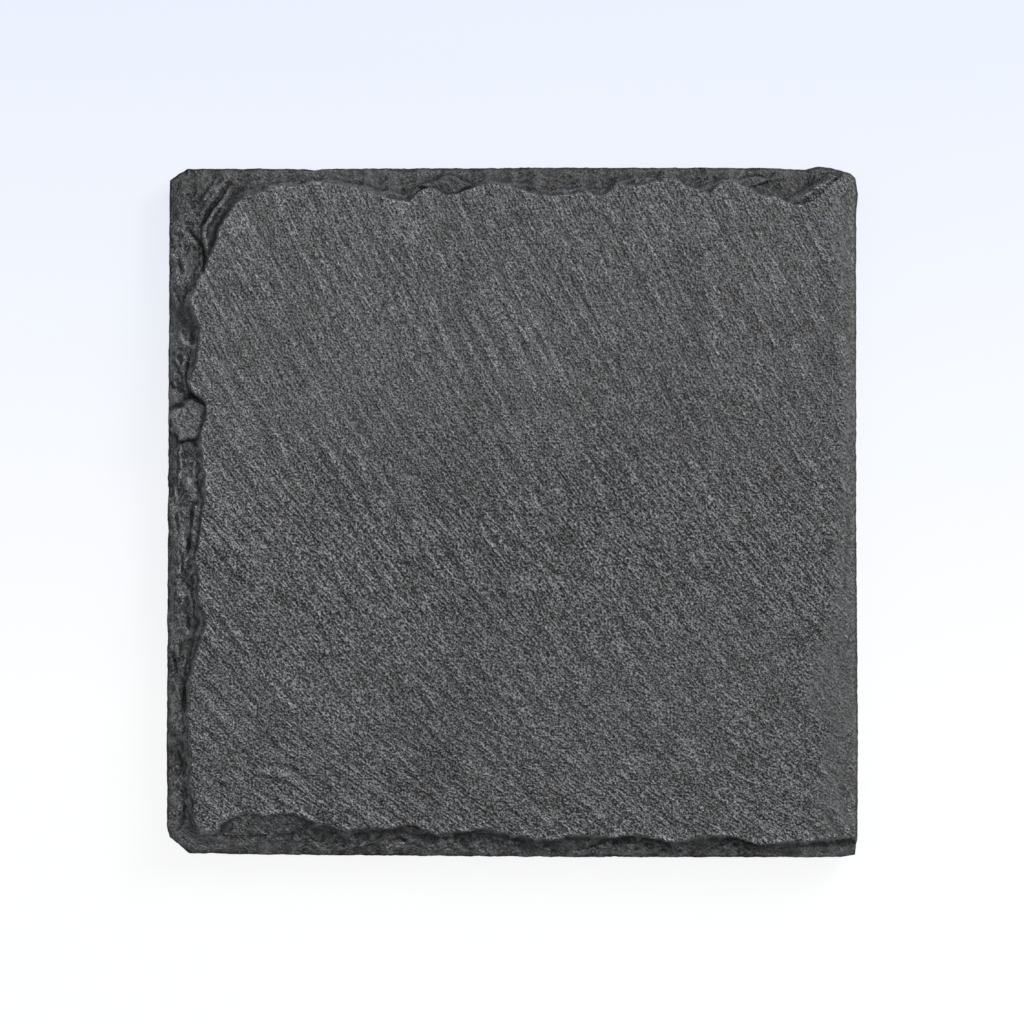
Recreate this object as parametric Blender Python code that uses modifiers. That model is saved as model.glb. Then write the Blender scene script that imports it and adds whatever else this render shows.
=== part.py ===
"""Slate work slab: a square of naturally split slate with knapped edges, on four stick-on foot pads.

The slab is one solid. Its sides were trimmed to a square and then chipped from above, so the flat
face ends in an irregular break line and a band of flake scars falls from there to the rim. Each
side's silhouette and break line are short lists of stations, and the slab is lofted through them.
Each foot is a foam pad held to the flat underside by its own disc of adhesive film.

Frame: metres, +Z up, origin on the surface it stands on, under the middle of the slab. +Y is the
rear side, +X the right side. Nothing on it moves.
"""

import math

import bmesh
import bpy

MM = 0.001

# ---------------------------------------------------------------- driving dimensions
SLAB_WIDTH = 100.0 * MM        # left side to right side
SLAB_DEPTH = 100.0 * MM        # front side to rear side
SLAB_THICKNESS = 7.0 * MM      # flat underside to the face
SPALL_WIDTH = 0.5 * MM         # how far the lower edge has crumbled away under the slab
SPALL_HEIGHT = 0.8 * MM        # and how far up its side

PAD_DIAMETER = 12.0 * MM
PAD_THICKNESS = 1.5 * MM
PAD_INSET = 15.0 * MM          # from each side of the slab to the pad's centre
PAD_EDGE_ROUND = 0.35 * MM
FILM_THICKNESS = 0.4 * MM
FILM_MARGIN = 0.3 * MM         # the film stops short of the pad's rim by this much
CONTACT_GAP = 0.3 * MM         # between pieces that rest on each other
ROUND_SIDES = 40               # facets on a pad and on a film disc

FILM_BOTTOM = PAD_THICKNESS + CONTACT_GAP
SLAB_BOTTOM = FILM_BOTTOM + FILM_THICKNESS + CONTACT_GAP
SLAB_TOP = SLAB_BOTTOM + SLAB_THICKNESS

# ---------------------------------------------------------------- edge sections
# A section goes from the silhouette in to the break line. "drop" is how far the rim's top lies
# below the face. The lip and the foot are (share of the way in, share of the drop still below the
# face): the rim rounds over at the lip, and the steep wall under the break starts at the foot.
KNAPPED = {"drop": 4.5 * MM, "lip": (0.22, 0.74), "foot": (0.80, 0.46)}
WORN = {"drop": 1.4 * MM, "lip": (0.20, 0.54), "foot": (0.72, 0.10)}
SHELF = {"drop": 4.5 * MM, "lip": (0.17, 0.38), "foot": (0.93, 0.30)}
CORNER_FLAKE = {"drop": 4.6 * MM, "lip": (0.30, 0.78), "foot": (0.74, 0.60)}

# ---------------------------------------------------------------- silhouette stations
# (per cent of the way along the side, millimetres in from it). The front and rear sides run
# from left to right, the left and right sides from rear to front.
REAR_EDGE = [(3.0, 0.3), (20.0, 0.3), (21.3, 0.5), (22.5, 0.3), (55.0, 0.1), (86.6, 0.15),
             (93.5, 0.5), (94.1, 0.0), (96.2, 0.1), (97.5, 0.5), (98.9, 1.0)]
RIGHT_EDGE = [(1.8, 0.4), (4.1, 0.0), (6.5, 0.25), (50.0, 0.25), (82.0, 0.0), (97.7, 0.1)]
FRONT_EDGE = [(3.3, 0.55), (20.0, 0.3), (60.0, 0.0), (97.7, 0.0), (99.7, 0.4)]
LEFT_EDGE = [(1.9, 0.4), (50.0, 0.15), (80.0, 0.0), (95.7, 0.0), (97.0, 0.4)]

# ---------------------------------------------------------------- break line stations
# (per cent of the way along the side, millimetres in from it, section). Points far in near a
# corner lie on a flake that took the corner off.
REAR_BREAK = [
    (9.8, 5.7, CORNER_FLAKE), (11.3, 4.5, CORNER_FLAKE), (13.0, 4.3, KNAPPED), (15.4, 3.1, KNAPPED),
    (20.0, 3.1, KNAPPED), (20.7, 2.3, KNAPPED), (25.5, 2.6, KNAPPED), (31.5, 4.2, KNAPPED),
    (35.0, 5.0, KNAPPED), (38.4, 2.8, KNAPPED), (41.5, 4.3, KNAPPED), (47.4, 2.4, KNAPPED),
    (50.9, 3.1, KNAPPED), (54.5, 4.1, KNAPPED), (58.1, 4.1, KNAPPED), (60.2, 3.6, KNAPPED),
    (62.5, 4.3, KNAPPED), (65.4, 2.3, KNAPPED), (71.3, 2.0, KNAPPED), (77.2, 3.8, KNAPPED),
    (80.3, 2.3, KNAPPED), (84.8, 3.0, KNAPPED), (88.7, 4.8, KNAPPED), (90.0, 5.1, KNAPPED),
    (92.3, 3.9, KNAPPED), (94.9, 2.3, KNAPPED), (96.4, 2.4, KNAPPED), (97.7, 1.5, KNAPPED),
]
RIGHT_BREAK = [
    (3.0, 1.6, WORN), (6.0, 3.6, WORN), (15.0, 3.8, WORN), (24.0, 3.6, WORN), (28.0, 2.0, WORN),
    (46.0, 2.2, WORN), (56.0, 4.0, WORN), (66.0, 4.2, WORN), (70.0, 5.2, WORN), (76.0, 4.0, WORN),
    (81.0, 2.4, WORN), (89.0, 4.8, WORN), (93.5, 4.2, WORN), (96.0, 1.6, WORN),
]
FRONT_BREAK = [
    (5.5, 3.9, KNAPPED), (7.5, 4.4, KNAPPED), (9.8, 5.8, KNAPPED), (11.6, 6.7, KNAPPED),
    (16.2, 6.7, KNAPPED), (20.0, 5.8, KNAPPED), (26.1, 4.1, KNAPPED), (30.0, 4.8, KNAPPED),
    (35.2, 5.1, KNAPPED), (39.6, 3.6, KNAPPED), (44.6, 4.7, KNAPPED), (49.5, 3.9, KNAPPED),
    (53.6, 2.9, KNAPPED), (59.4, 3.8, KNAPPED), (63.8, 3.4, KNAPPED), (67.3, 3.6, KNAPPED),
    (72.0, 3.0, KNAPPED), (75.2, 2.9, KNAPPED), (77.2, 3.6, KNAPPED), (82.5, 3.3, KNAPPED),
    (85.5, 2.3, KNAPPED), (90.2, 2.6, KNAPPED), (96.4, 3.1, KNAPPED), (98.6, 3.1, KNAPPED),
]
LEFT_BREAK = [
    (7.8, 8.3, CORNER_FLAKE), (9.6, 7.5, CORNER_FLAKE), (12.2, 6.8, CORNER_FLAKE),
    (15.2, 5.5, KNAPPED), (16.9, 4.7, KNAPPED), (19.7, 3.6, KNAPPED), (23.6, 5.1, KNAPPED),
    (27.5, 4.6, KNAPPED), (29.5, 3.7, KNAPPED), (31.7, 3.5, KNAPPED), (33.5, 5.1, KNAPPED),
    (34.2, 5.8, SHELF), (37.0, 5.5, SHELF), (39.2, 4.9, SHELF), (39.8, 5.0, KNAPPED),
    (44.4, 6.1, KNAPPED), (48.3, 5.6, KNAPPED), (53.0, 4.7, KNAPPED), (56.3, 4.4, KNAPPED),
    (62.3, 4.7, KNAPPED), (65.6, 5.9, KNAPPED), (69.1, 4.7, KNAPPED), (73.4, 3.8, KNAPPED),
    (78.7, 3.4, KNAPPED), (86.0, 3.6, KNAPPED), (92.0, 3.9, KNAPPED),
]

NEAREST_STATIONS = math.radians(0.12)   # stations closer than this, seen from the middle, merge


# ---------------------------------------------------------------- scene, collections, materials
def clear_scene():
    for thing in list(bpy.data.objects):
        bpy.data.objects.remove(thing, do_unlink=True)


def new_collection(name):
    collection = bpy.data.collections.new(name)
    bpy.context.scene.collection.children.link(collection)
    return collection


def new_material(name, colour, roughness):
    material = bpy.data.materials.new(name)
    material.use_nodes = True
    shader = material.node_tree.nodes["Principled BSDF"]
    shader.inputs["Base Color"].default_value = (*colour, 1.0)
    shader.inputs["Roughness"].default_value = roughness
    shader.inputs["Metallic"].default_value = 0.0
    return material


def new_part(name, mesh, collection, material):
    part = bpy.data.objects.new(name, mesh)
    part.data.materials.clear()
    part.data.materials.append(material)
    collection.objects.link(part)
    return part


# ---------------------------------------------------------------- the slab's plan
def on_side(side, along, inward):
    """The plan point this per cent along a side and this many millimetres in from it."""
    across_x = SLAB_WIDTH * (along / 100.0 - 0.5)
    across_y = SLAB_DEPTH * (0.5 - along / 100.0)
    return {
        "rear": (across_x, SLAB_DEPTH / 2 - inward * MM),
        "front": (across_x, -SLAB_DEPTH / 2 + inward * MM),
        "left": (-SLAB_WIDTH / 2 + inward * MM, across_y),
        "right": (SLAB_WIDTH / 2 - inward * MM, across_y),
    }[side]


def walk_round(rear, right, front, left):
    """One closed loop of (plan point, section) from the four sides' stations, clockwise."""
    sides = (("rear", rear), ("right", right), ("front", front[::-1]), ("left", left[::-1]))
    return [(on_side(side, *station[:2]), station[2:]) for side, stations in sides
            for station in stations]


def bearing(point):
    return math.atan2(point[1], point[0])


def blend(one, other, share):
    """Part of the way from one section to another, number by number."""
    def mix(a, b):
        return a + (b - a) * share

    return {
        "drop": mix(one["drop"], other["drop"]),
        "lip": tuple(map(mix, one["lip"], other["lip"])),
        "foot": tuple(map(mix, one["foot"], other["foot"])),
    }


def cross_loop(loop, angle):
    """Where the line from the middle at this angle crosses the loop, and the section there."""
    ahead = (math.cos(angle), math.sin(angle))
    for (here, section), (there, next_section) in zip(loop, loop[1:] + loop[:1]):
        side_here = ahead[0] * here[1] - ahead[1] * here[0]
        side_there = ahead[0] * there[1] - ahead[1] * there[0]
        faces_it = ahead[0] * (here[0] + there[0]) + ahead[1] * (here[1] + there[1]) > 0.0
        if side_here >= 0.0 > side_there and faces_it:
            share = side_here / (side_here - side_there)
            point = tuple(a + (b - a) * share for a, b in zip(here, there))
            return point, blend(section[0], next_section[0], share) if section else None
    raise ValueError("the loop does not go round the middle")


def bearings_of(*loops):
    """Every station's bearing, in order, with near doubles merged into the first of them."""
    kept = []
    for angle in sorted(bearing(point) for loop in loops for point, _ in loop):
        if not kept or angle - kept[-1] > NEAREST_STATIONS:
            kept.append(angle)
    return kept


def toward(outer, inner, share):
    return tuple(a + (b - a) * share for a, b in zip(outer, inner))


def inset(point, distance):
    """The plan point moved this far towards the middle."""
    reach = math.hypot(*point)
    return tuple(value * (1.0 - distance / reach) for value in point)


def edge_section(edge, brink, section):
    """The section's six points, from the underside out, up the rim and in to the face."""
    drop = section["drop"]
    lip_in, lip_down = section["lip"]
    foot_in, foot_down = section["foot"]
    return [
        (*inset(edge, SPALL_WIDTH), SLAB_BOTTOM),
        (*edge, SLAB_BOTTOM + SPALL_HEIGHT),
        (*edge, SLAB_TOP - drop),
        (*toward(edge, brink, lip_in), SLAB_TOP - lip_down * drop),
        (*toward(edge, brink, foot_in), SLAB_TOP - foot_down * drop),
        (*brink, SLAB_TOP),
    ]


# ---------------------------------------------------------------- pieces
def slate_slab(collection, material):
    """A loft through the edge sections, closed by the flat underside and the flat face."""
    silhouette = walk_round(REAR_EDGE, RIGHT_EDGE, FRONT_EDGE, LEFT_EDGE)
    break_line = walk_round(REAR_BREAK, RIGHT_BREAK, FRONT_BREAK, LEFT_BREAK)
    sections = []
    for angle in bearings_of(silhouette, break_line):
        edge, _ = cross_loop(silhouette, angle)
        brink, section = cross_loop(break_line, angle)
        sections.append(edge_section(edge, brink, section))

    shell = bmesh.new()
    rings = [[shell.verts.new(point) for point in level] for level in zip(*sections)]
    for lower, upper in zip(rings, rings[1:]):
        for i in range(len(lower)):
            following = (i + 1) % len(lower)
            shell.faces.new((lower[i], lower[following], upper[following], upper[i]))
    shell.faces.new(reversed(rings[0]))
    shell.faces.new(rings[-1])

    mesh = bpy.data.meshes.new("slate_slab")
    shell.to_mesh(mesh)
    shell.free()
    return new_part("slate_slab", mesh, collection, material)


def foot_centres():
    """The four feet's names and the centres they stand on."""
    reach_x = SLAB_WIDTH / 2 - PAD_INSET
    reach_y = SLAB_DEPTH / 2 - PAD_INSET
    return {
        "front_left": (-reach_x, -reach_y),
        "front_right": (reach_x, -reach_y),
        "rear_left": (-reach_x, reach_y),
        "rear_right": (reach_x, reach_y),
    }


def disc(name, diameter, bottom, thickness, edge_round, centre, collection, material):
    """A flat round disc with both rims eased over."""
    bpy.ops.mesh.primitive_cylinder_add(
        vertices=ROUND_SIDES, radius=diameter / 2, depth=thickness,
        location=(*centre, bottom + thickness / 2))
    made = bpy.context.active_object
    made.name = name
    made.data.name = name
    made.data.materials.append(material)
    for holder in list(made.users_collection):
        holder.objects.unlink(made)
    collection.objects.link(made)
    made.data.shade_smooth()
    made.data.set_sharp_from_angle(angle=math.radians(40.0))
    if edge_round:
        ease = made.modifiers.new("eased_rims", "BEVEL")
        ease.width = edge_round
        ease.segments = 2
        ease.limit_method = "ANGLE"
    return made


def feet(collection, pad_material, film_material):
    film_diameter = PAD_DIAMETER - 2 * FILM_MARGIN
    for corner, centre in foot_centres().items():
        disc(f"foot_pad_{corner}", PAD_DIAMETER, 0.0, PAD_THICKNESS, PAD_EDGE_ROUND,
             centre, collection, pad_material)
        disc(f"adhesive_film_{corner}", film_diameter, FILM_BOTTOM, FILM_THICKNESS, 0.0,
             centre, collection, film_material)


def main():
    clear_scene()
    slab_parts = new_collection("slate_work_slab")
    slate = new_material("charcoal_slate", (0.100, 0.102, 0.103), 0.62)
    foam = new_material("black_foam", (0.018, 0.018, 0.019), 0.85)
    film = new_material("adhesive_film", (0.52, 0.50, 0.44), 0.35)
    slate_slab(slab_parts, slate)
    feet(slab_parts, foam, film)


main()
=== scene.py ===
# %% [markdown]
# # A slate work slab
# A leather worker strikes stamps and punches on a slab of stone, because stone doesn't give. This
# one is a square of slate: split along its grain, trimmed to a square, and chipped along the edges
# from above. It stands on four foam pads, each stuck on with its own disc of adhesive film.
#
# The lesson builds it in the order a mason would see it: the plan and the split faces first, then
# the knapped edge, then the fine grain that only the material shows.

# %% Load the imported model
import math

import bpy
import numpy as np
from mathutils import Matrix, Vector
from mathutils.bvhtree import BVHTree


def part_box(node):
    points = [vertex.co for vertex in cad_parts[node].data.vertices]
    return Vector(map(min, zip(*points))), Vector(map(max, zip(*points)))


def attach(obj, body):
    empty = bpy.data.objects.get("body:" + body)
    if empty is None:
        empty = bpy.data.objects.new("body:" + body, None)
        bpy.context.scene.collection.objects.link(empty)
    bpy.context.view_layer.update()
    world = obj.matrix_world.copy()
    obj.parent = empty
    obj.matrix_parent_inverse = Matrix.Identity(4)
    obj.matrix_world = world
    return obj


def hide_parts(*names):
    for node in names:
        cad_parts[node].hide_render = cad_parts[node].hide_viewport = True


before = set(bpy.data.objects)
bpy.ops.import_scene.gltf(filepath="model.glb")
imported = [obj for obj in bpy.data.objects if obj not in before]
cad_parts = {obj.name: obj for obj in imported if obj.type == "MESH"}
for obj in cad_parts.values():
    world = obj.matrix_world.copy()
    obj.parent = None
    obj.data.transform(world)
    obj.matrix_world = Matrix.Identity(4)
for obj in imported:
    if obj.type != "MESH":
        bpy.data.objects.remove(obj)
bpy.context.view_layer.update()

MM = 0.001
CORNERS = ("front_left", "front_right", "rear_left", "rear_right")

slab_low, slab_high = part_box("slate_slab")
slab_middle = (slab_low + slab_high) / 2
HALF_WIDTH = (slab_high.x - slab_low.x) / 2 / MM     # millimetres, as all the sculpting below is
HALF_DEPTH = (slab_high.y - slab_low.y) / 2 / MM
FACE = slab_high.z / MM                              # height of the split face
UNDERSIDE = slab_low.z / MM
print("slab, mm:", 2 * HALF_WIDTH, 2 * HALF_DEPTH, "from", UNDERSIDE, "up to", FACE)

# %% [markdown]
# ## The camera and the room
# The slab is looked at from straight above. A long lens more than a metre away keeps the plan
# square: with a short lens close by, the sides of the rim would show beyond the face. The slab
# fills two thirds of the picture's width.

# %% Camera
CAMERA_DISTANCE = 1.2
SHARE_OF_PICTURE = 0.6735       # slab width over picture width
SENSOR = 36.0

camera_data = bpy.data.cameras.new("overhead_camera")
camera_data.sensor_width = SENSOR
picture_width = 2 * HALF_WIDTH * MM / SHARE_OF_PICTURE
camera_data.lens = SENSOR * CAMERA_DISTANCE / picture_width
camera = bpy.data.objects.new("overhead_camera", camera_data)
camera.location = (slab_middle.x, slab_middle.y, slab_low.z + CAMERA_DISTANCE)
bpy.context.scene.collection.objects.link(camera)
bpy.context.scene.camera = camera
bpy.context.scene.view_settings.view_transform = "Standard"
print("lens, mm:", round(camera_data.lens, 1))

# %% [markdown]
# ## Floor and light
# The slab lies on a softly glowing table: the light that comes up through it washes out all but a
# trace of the shadow. The table is white at the near end and a little cool at the far one. One flat
# sheet is enough for it, and a Map Range node over the sheet's own coordinates makes the fade.

# %% Floor
FLOOR_SIZE = 3.0
FLOOR_NEAR = (1.0, 1.0, 1.0)
FLOOR_FAR = (0.80, 0.85, 0.97)
FADE_FROM, FADE_TO = -0.030, 0.075      # metres in front of and behind the slab's middle
GLOW = 0.88                             # light the table gives off by itself


def plain_shader(material):
    """The Principled BSDF of a new material, which Blender adds by itself."""
    material.use_nodes = True
    return material.node_tree.nodes["Principled BSDF"]


floor_mesh = bpy.data.meshes.new("floor")
edge = FLOOR_SIZE / 2
floor_mesh.from_pydata([(-edge, -edge, 0), (edge, -edge, 0), (edge, edge, 0), (-edge, edge, 0)],
                       [], [(0, 1, 2, 3)])
floor = bpy.data.objects.new("floor", floor_mesh)
bpy.context.scene.collection.objects.link(floor)

paper = bpy.data.materials.new("glowing_table")
paper_shader = plain_shader(paper)
paper_shader.inputs["Roughness"].default_value = 0.9
nodes, links = paper.node_tree.nodes, paper.node_tree.links
place = nodes.new("ShaderNodeTexCoord")
split = nodes.new("ShaderNodeSeparateXYZ")
fade = nodes.new("ShaderNodeMapRange")
fade.inputs["From Min"].default_value = FADE_FROM
fade.inputs["From Max"].default_value = FADE_TO
tint = nodes.new("ShaderNodeMix")
tint.data_type = "RGBA"
tint.inputs["A"].default_value = (*FLOOR_NEAR, 1)
tint.inputs["B"].default_value = (*FLOOR_FAR, 1)
links.new(place.outputs["Object"], split.inputs["Vector"])
links.new(split.outputs["Y"], fade.inputs["Value"])
links.new(fade.outputs["Result"], tint.inputs["Factor"])
links.new(tint.outputs["Result"], paper_shader.inputs["Emission Color"])
paper_shader.inputs["Emission Strength"].default_value = GLOW
paper_shader.inputs["Base Color"].default_value = (0.12, 0.123, 0.126, 1)
paper_shader.inputs["Specular IOR Level"].default_value = 0.1
floor_mesh.materials.append(paper)
print("table:", FLOOR_SIZE, "m wide, glow", GLOW)

# %% [markdown]
# The world gives soft light from all round. A camera held low sees past the table's far edge, so
# Light Path picks a paler backdrop for the rays that come straight from the camera. All other rays
# still meet the dimmer world, and the light on the slab stays as it is.

# %% World
WORLD_STRENGTH, BACKDROP_STRENGTH = 0.40, 0.95

world = bpy.data.worlds.new("soft_room")
bpy.context.scene.world = world
world.use_nodes = True
sky = world.node_tree
lighting = sky.nodes["Background"]
lighting.inputs["Color"].default_value = (0.93, 0.96, 1.0, 1)
lighting.inputs["Strength"].default_value = WORLD_STRENGTH
backdrop = sky.nodes.new("ShaderNodeBackground")
backdrop.inputs["Color"].default_value = (0.90, 0.93, 0.98, 1)
backdrop.inputs["Strength"].default_value = BACKDROP_STRENGTH
ray = sky.nodes.new("ShaderNodeLightPath")
choice = sky.nodes.new("ShaderNodeMixShader")
sky.links.new(ray.outputs["Is Camera Ray"], choice.inputs["Fac"])
sky.links.new(lighting.outputs["Background"], choice.inputs[1])
sky.links.new(backdrop.outputs["Background"], choice.inputs[2])
sky.links.new(choice.outputs["Shader"], sky.nodes["World Output"].inputs["Surface"])
print("world nodes:", len(sky.nodes))

# %% [markdown]
# A large soft key stands behind the slab and to the right, low enough to rake across the grain and
# to leave the left and front chips in shade. A dimmer light overhead keeps their detail.

# %% Lights
def soft_light(name, watts, size, azimuth, elevation, distance):
    """A square softbox aimed at the slab; azimuth 0 is to the right, 90 to the rear."""
    lamp_data = bpy.data.lights.new(name, "AREA")
    lamp_data.energy = watts
    lamp_data.size = size
    lamp = bpy.data.objects.new(name, lamp_data)
    turn, lift = math.radians(azimuth), math.radians(elevation)
    way = Vector((math.cos(turn) * math.cos(lift), math.sin(turn) * math.cos(lift), math.sin(lift)))
    lamp.location = way * distance
    lamp.rotation_euler = way.to_track_quat("Z", "Y").to_euler()
    bpy.context.scene.collection.objects.link(lamp)
    return lamp


key = soft_light("key", 9.6, 0.5, azimuth=42, elevation=40, distance=1.1)
fill = soft_light("overhead_fill", 4.0, 1.0, azimuth=90, elevation=86, distance=1.4)
print("lights, m:", [[round(v, 2) for v in lamp.location] for lamp in (key, fill)])

# %% [markdown]
# ## Noise to carve with
# Stone is carved here by moving the points of a fine mesh, so the script needs noise of its own.
# `soft_noise` is the ordinary rolling kind. `scars` is different: the lowest of many little bowls.
# That is how knapping works. Every blow takes out a shell-shaped flake, and what stays between
# two neighbouring flakes is a sharp ridge.

# %% Noise helpers
TABLE = 256


def soft_noise(across, along, seed):
    """Rolling noise, about -1 to 1, with a lattice step of one unit."""
    turn = np.random.default_rng(seed).uniform(0, 2 * np.pi, (TABLE, TABLE))
    lean_x, lean_y = np.cos(turn), np.sin(turn)
    cell_x, cell_y = np.floor(across).astype(int), np.floor(along).astype(int)
    in_x, in_y = across - cell_x, along - cell_y

    def corner(step_x, step_y):
        column, row = (cell_x + step_x) % TABLE, (cell_y + step_y) % TABLE
        return lean_x[column, row] * (in_x - step_x) + lean_y[column, row] * (in_y - step_y)

    ease_x = in_x ** 3 * (in_x * (in_x * 6 - 15) + 10)
    ease_y = in_y ** 3 * (in_y * (in_y * 6 - 15) + 10)
    near = corner(0, 0) * (1 - ease_x) + corner(1, 0) * ease_x
    far = corner(0, 1) * (1 - ease_x) + corner(1, 1) * ease_x
    return 1.5 * (near * (1 - ease_y) + far * ease_y)


def scars(across, along, seed, unevenness=0.5):
    """The lowest of many bowls, one per unit: 0 at the bottom of a bowl, about 1 on a ridge.

    The second result is a number from 0 to 1 that belongs to the bowl itself."""
    table = np.random.default_rng(seed).uniform(0, 1, (3, TABLE, TABLE))
    cell_x, cell_y = np.floor(across).astype(int), np.floor(along).astype(int)
    lowest, owner = np.full(np.shape(across), 9.0), np.zeros(np.shape(across))
    for step_x in (-1, 0, 1):
        for step_y in (-1, 0, 1):
            column, row = (cell_x + step_x) % TABLE, (cell_y + step_y) % TABLE
            away_x = cell_x + step_x + table[0, column, row] - across
            away_y = cell_y + step_y + table[1, column, row] - along
            bowl = away_x ** 2 + away_y ** 2 + unevenness * table[2, column, row]
            owner = np.where(bowl < lowest, table[2, column, row], owner)
            lowest = np.minimum(lowest, bowl)
    return lowest, owner


def ease(low, high, value):
    """0 below low, 1 above high and a smooth change between."""
    share = np.clip((value - low) / (high - low), 0, 1)
    return share * share * (3 - 2 * share)


print("soft noise spread:", soft_noise(np.arange(999) / 7.0, np.arange(999) / 5.0, 1).std().round(3))

# %% [markdown]
# ## Reading the slab's edge from the model
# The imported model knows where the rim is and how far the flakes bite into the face. Rays find
# both: level rays from outside give the silhouette for every bearing, and rays from above give
# the height of the stone at any point of the plan. The detailed stone then follows the model
# everywhere, and a changed size in the model changes this mesh as well.

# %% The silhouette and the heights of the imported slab
BEARINGS = 4096
RIM_RAY = UNDERSIDE + 1.2       # a level that cuts the rim on every side

cad_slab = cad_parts["slate_slab"]
cad_tree = BVHTree.FromPolygons([v.co for v in cad_slab.data.vertices],
                                [p.vertices for p in cad_slab.data.polygons])
bearing_table = np.linspace(-np.pi, np.pi, BEARINGS)


def silhouette_reach(bearing):
    """Millimetres from the middle to the rim along one bearing, met by a ray from outside."""
    outward = Vector((math.cos(bearing), math.sin(bearing), 0))
    start = Vector((0, 0, RIM_RAY * MM)) + outward
    return (cad_tree.ray_cast(start, -outward)[0].xy).length / MM


reach_table = np.array([silhouette_reach(b) for b in bearing_table])


def reach_of(x, y):
    """How far the silhouette lies from the middle in the direction of each point."""
    return np.interp(np.arctan2(y, x), bearing_table, reach_table)


def cad_height(x, y):
    """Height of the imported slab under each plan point; points are kept inside the silhouette."""
    distance = np.hypot(x, y)
    pull = np.minimum(1.0, 0.9985 * reach_of(x, y) / np.maximum(distance, 1e-6))
    heights = np.full(len(x), FACE)
    edge_zone = np.maximum(np.abs(x) / HALF_WIDTH, np.abs(y) / HALF_DEPTH) > 0.82
    down = Vector((0, 0, -1))
    for i in np.flatnonzero(edge_zone):
        start = Vector((x[i] * pull[i] * MM, y[i] * pull[i] * MM, 1.0))
        heights[i] = cad_tree.ray_cast(start, down)[0].z / MM
    return heights


print("silhouette reach, mm:", reach_table.min().round(2), "to", reach_table.max().round(2))

# %% [markdown]
# ## The grid that gets carved
# A square net of points is laid over the plan. Its lines stand closer together along the edges,
# where the chips are, than on the face, where the shapes are broad and the fine grain can be left
# to the material. The net's border is then drawn in to the silhouette, and the pull fades out a
# few millimetres further in.

# %% Plan grid
EDGE_BAND = 8.6                 # mm of dense net along each side
EDGE_STEP = 0.165
FACE_STEP = 0.27
PULL_BAND = 0.86                # share of the way out where the border's pull starts


def line_places(half):
    """Places of the net's lines from -half to half, dense near both ends, an odd number of them."""
    dense = np.linspace(0, EDGE_BAND, round(EDGE_BAND / EDGE_STEP) + 1)
    count = 2 * round((half - EDGE_BAND) / FACE_STEP)
    loose = np.linspace(-half + EDGE_BAND, half - EDGE_BAND, count + 1)
    return np.concatenate([-half + dense[:-1], loose, half - dense[:-1][::-1]])


columns, rows = line_places(HALF_WIDTH), line_places(HALF_DEPTH)
NX, NY = len(columns), len(rows)
net_x, net_y = (grid.ravel() for grid in np.meshgrid(columns, rows))
out_share = np.maximum(np.abs(net_x) / HALF_WIDTH, np.abs(net_y) / HALF_DEPTH)
border_reach = np.hypot(net_x, net_y) / np.maximum(out_share, 1e-6)
rough_reach = reach_of(net_x, net_y)
turn = np.arctan2(net_y, net_x) * 50          # about a millimetre of rim per unit
rough_reach = (rough_reach + 0.10 * soft_noise(turn / 2.1, turn * 0, 11)
               + 0.06 * soft_noise(turn / 0.55, turn * 0, 12) - 0.08)
pull_in = 1 + (rough_reach / np.maximum(border_reach, 1.0) - 1) * ease(PULL_BAND, 1.0, out_share)
plan_x, plan_y = net_x * pull_in, net_y * pull_in
print("net:", NX, "x", NY, "points")

# %% [markdown]
# ## Knapping the edge
# Three things make a knapped slate edge look like itself. The break line wanders, because each
# flake ended where it liked. The surface below it is a patchwork of shell-shaped scars. And slate
# is a stack of thin sheets, so a flake leaves by steps: level treads where it followed a sheet and
# steep little risers where it broke through one.

# %% Bites in the break line
SCAR_WIDTH = 3.0
NIBBLE_WIDTH = 0.8
SCALLOP, NIBBLE = 0.55, 0.20    # mm that a flake and a small nibble move the break line
LINE_BOWL = 0.45                # the bowl that leaves the line where it is
WANDER = 0.10                   # mm of fine raggedness in it
WORN_LIVELINESS = 0.22          # of a worn side, where a knapped one has 1

scar_wave_x = plan_x + 0.5 * soft_noise(plan_x / 1.6, plan_y / 1.6, 33)
scar_wave_y = plan_y + 0.5 * soft_noise(plan_x / 1.6, plan_y / 1.6, 34)
bowls, scar_owner = scars(scar_wave_x / SCAR_WIDTH, scar_wave_y / SCAR_WIDTH, 31)
side_share = ease(-4, 4, (HALF_DEPTH - np.abs(plan_y)) - (HALF_WIDTH - np.abs(plan_x)))
outward_x, outward_y = np.sign(plan_x) * side_share, np.sign(plan_y) * (1 - side_share)
nibbles = scars(plan_x / NIBBLE_WIDTH, plan_y / NIBBLE_WIDTH, 27)[0]
# a point twice as far out is pulled back to the rim, so this is how far the rim lies below the face;
# it is little at the worn right side, which makes the surface there calmer
rim_drop = FACE - cad_height(2 * plan_x, 2 * plan_y)
knapped = ease(1.8, 3.2, rim_drop)
liveliness = WORN_LIVELINESS + (1 - WORN_LIVELINESS) * knapped

bite_out = liveliness ** 2 * (SCALLOP * (LINE_BOWL - bowls) + NIBBLE * (LINE_BOWL - nibbles))
ragged_x = WANDER * liveliness * soft_noise(plan_x / 0.42, plan_y / 0.42, 23)
ragged_y = WANDER * liveliness * soft_noise(plan_x / 0.42, plan_y / 0.42, 26)
fallen = FACE - cad_height(plan_x + outward_x * bite_out + ragged_x,
                           plan_y + outward_y * bite_out + ragged_y)      # depth below the face
print("rim drop, mm:", rim_drop.min().round(2), "to", rim_drop.max().round(2))

# %% [markdown]
# Where the break line runs matters more than anything else on this edge: it is the outline of the
# face. So the long stretches of it are drawn as points in millimetres to the right of
# the rear left corner and forward of it. `near_line` finds the points of the net beside such a line.
# `retrace` lifts the face right up to the line and lets the stone drop steeply on the other side.

# %% Tools for lines
STEEP_DROP = 1.1                # mm that the stone drops beside a redrawn break at most

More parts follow.
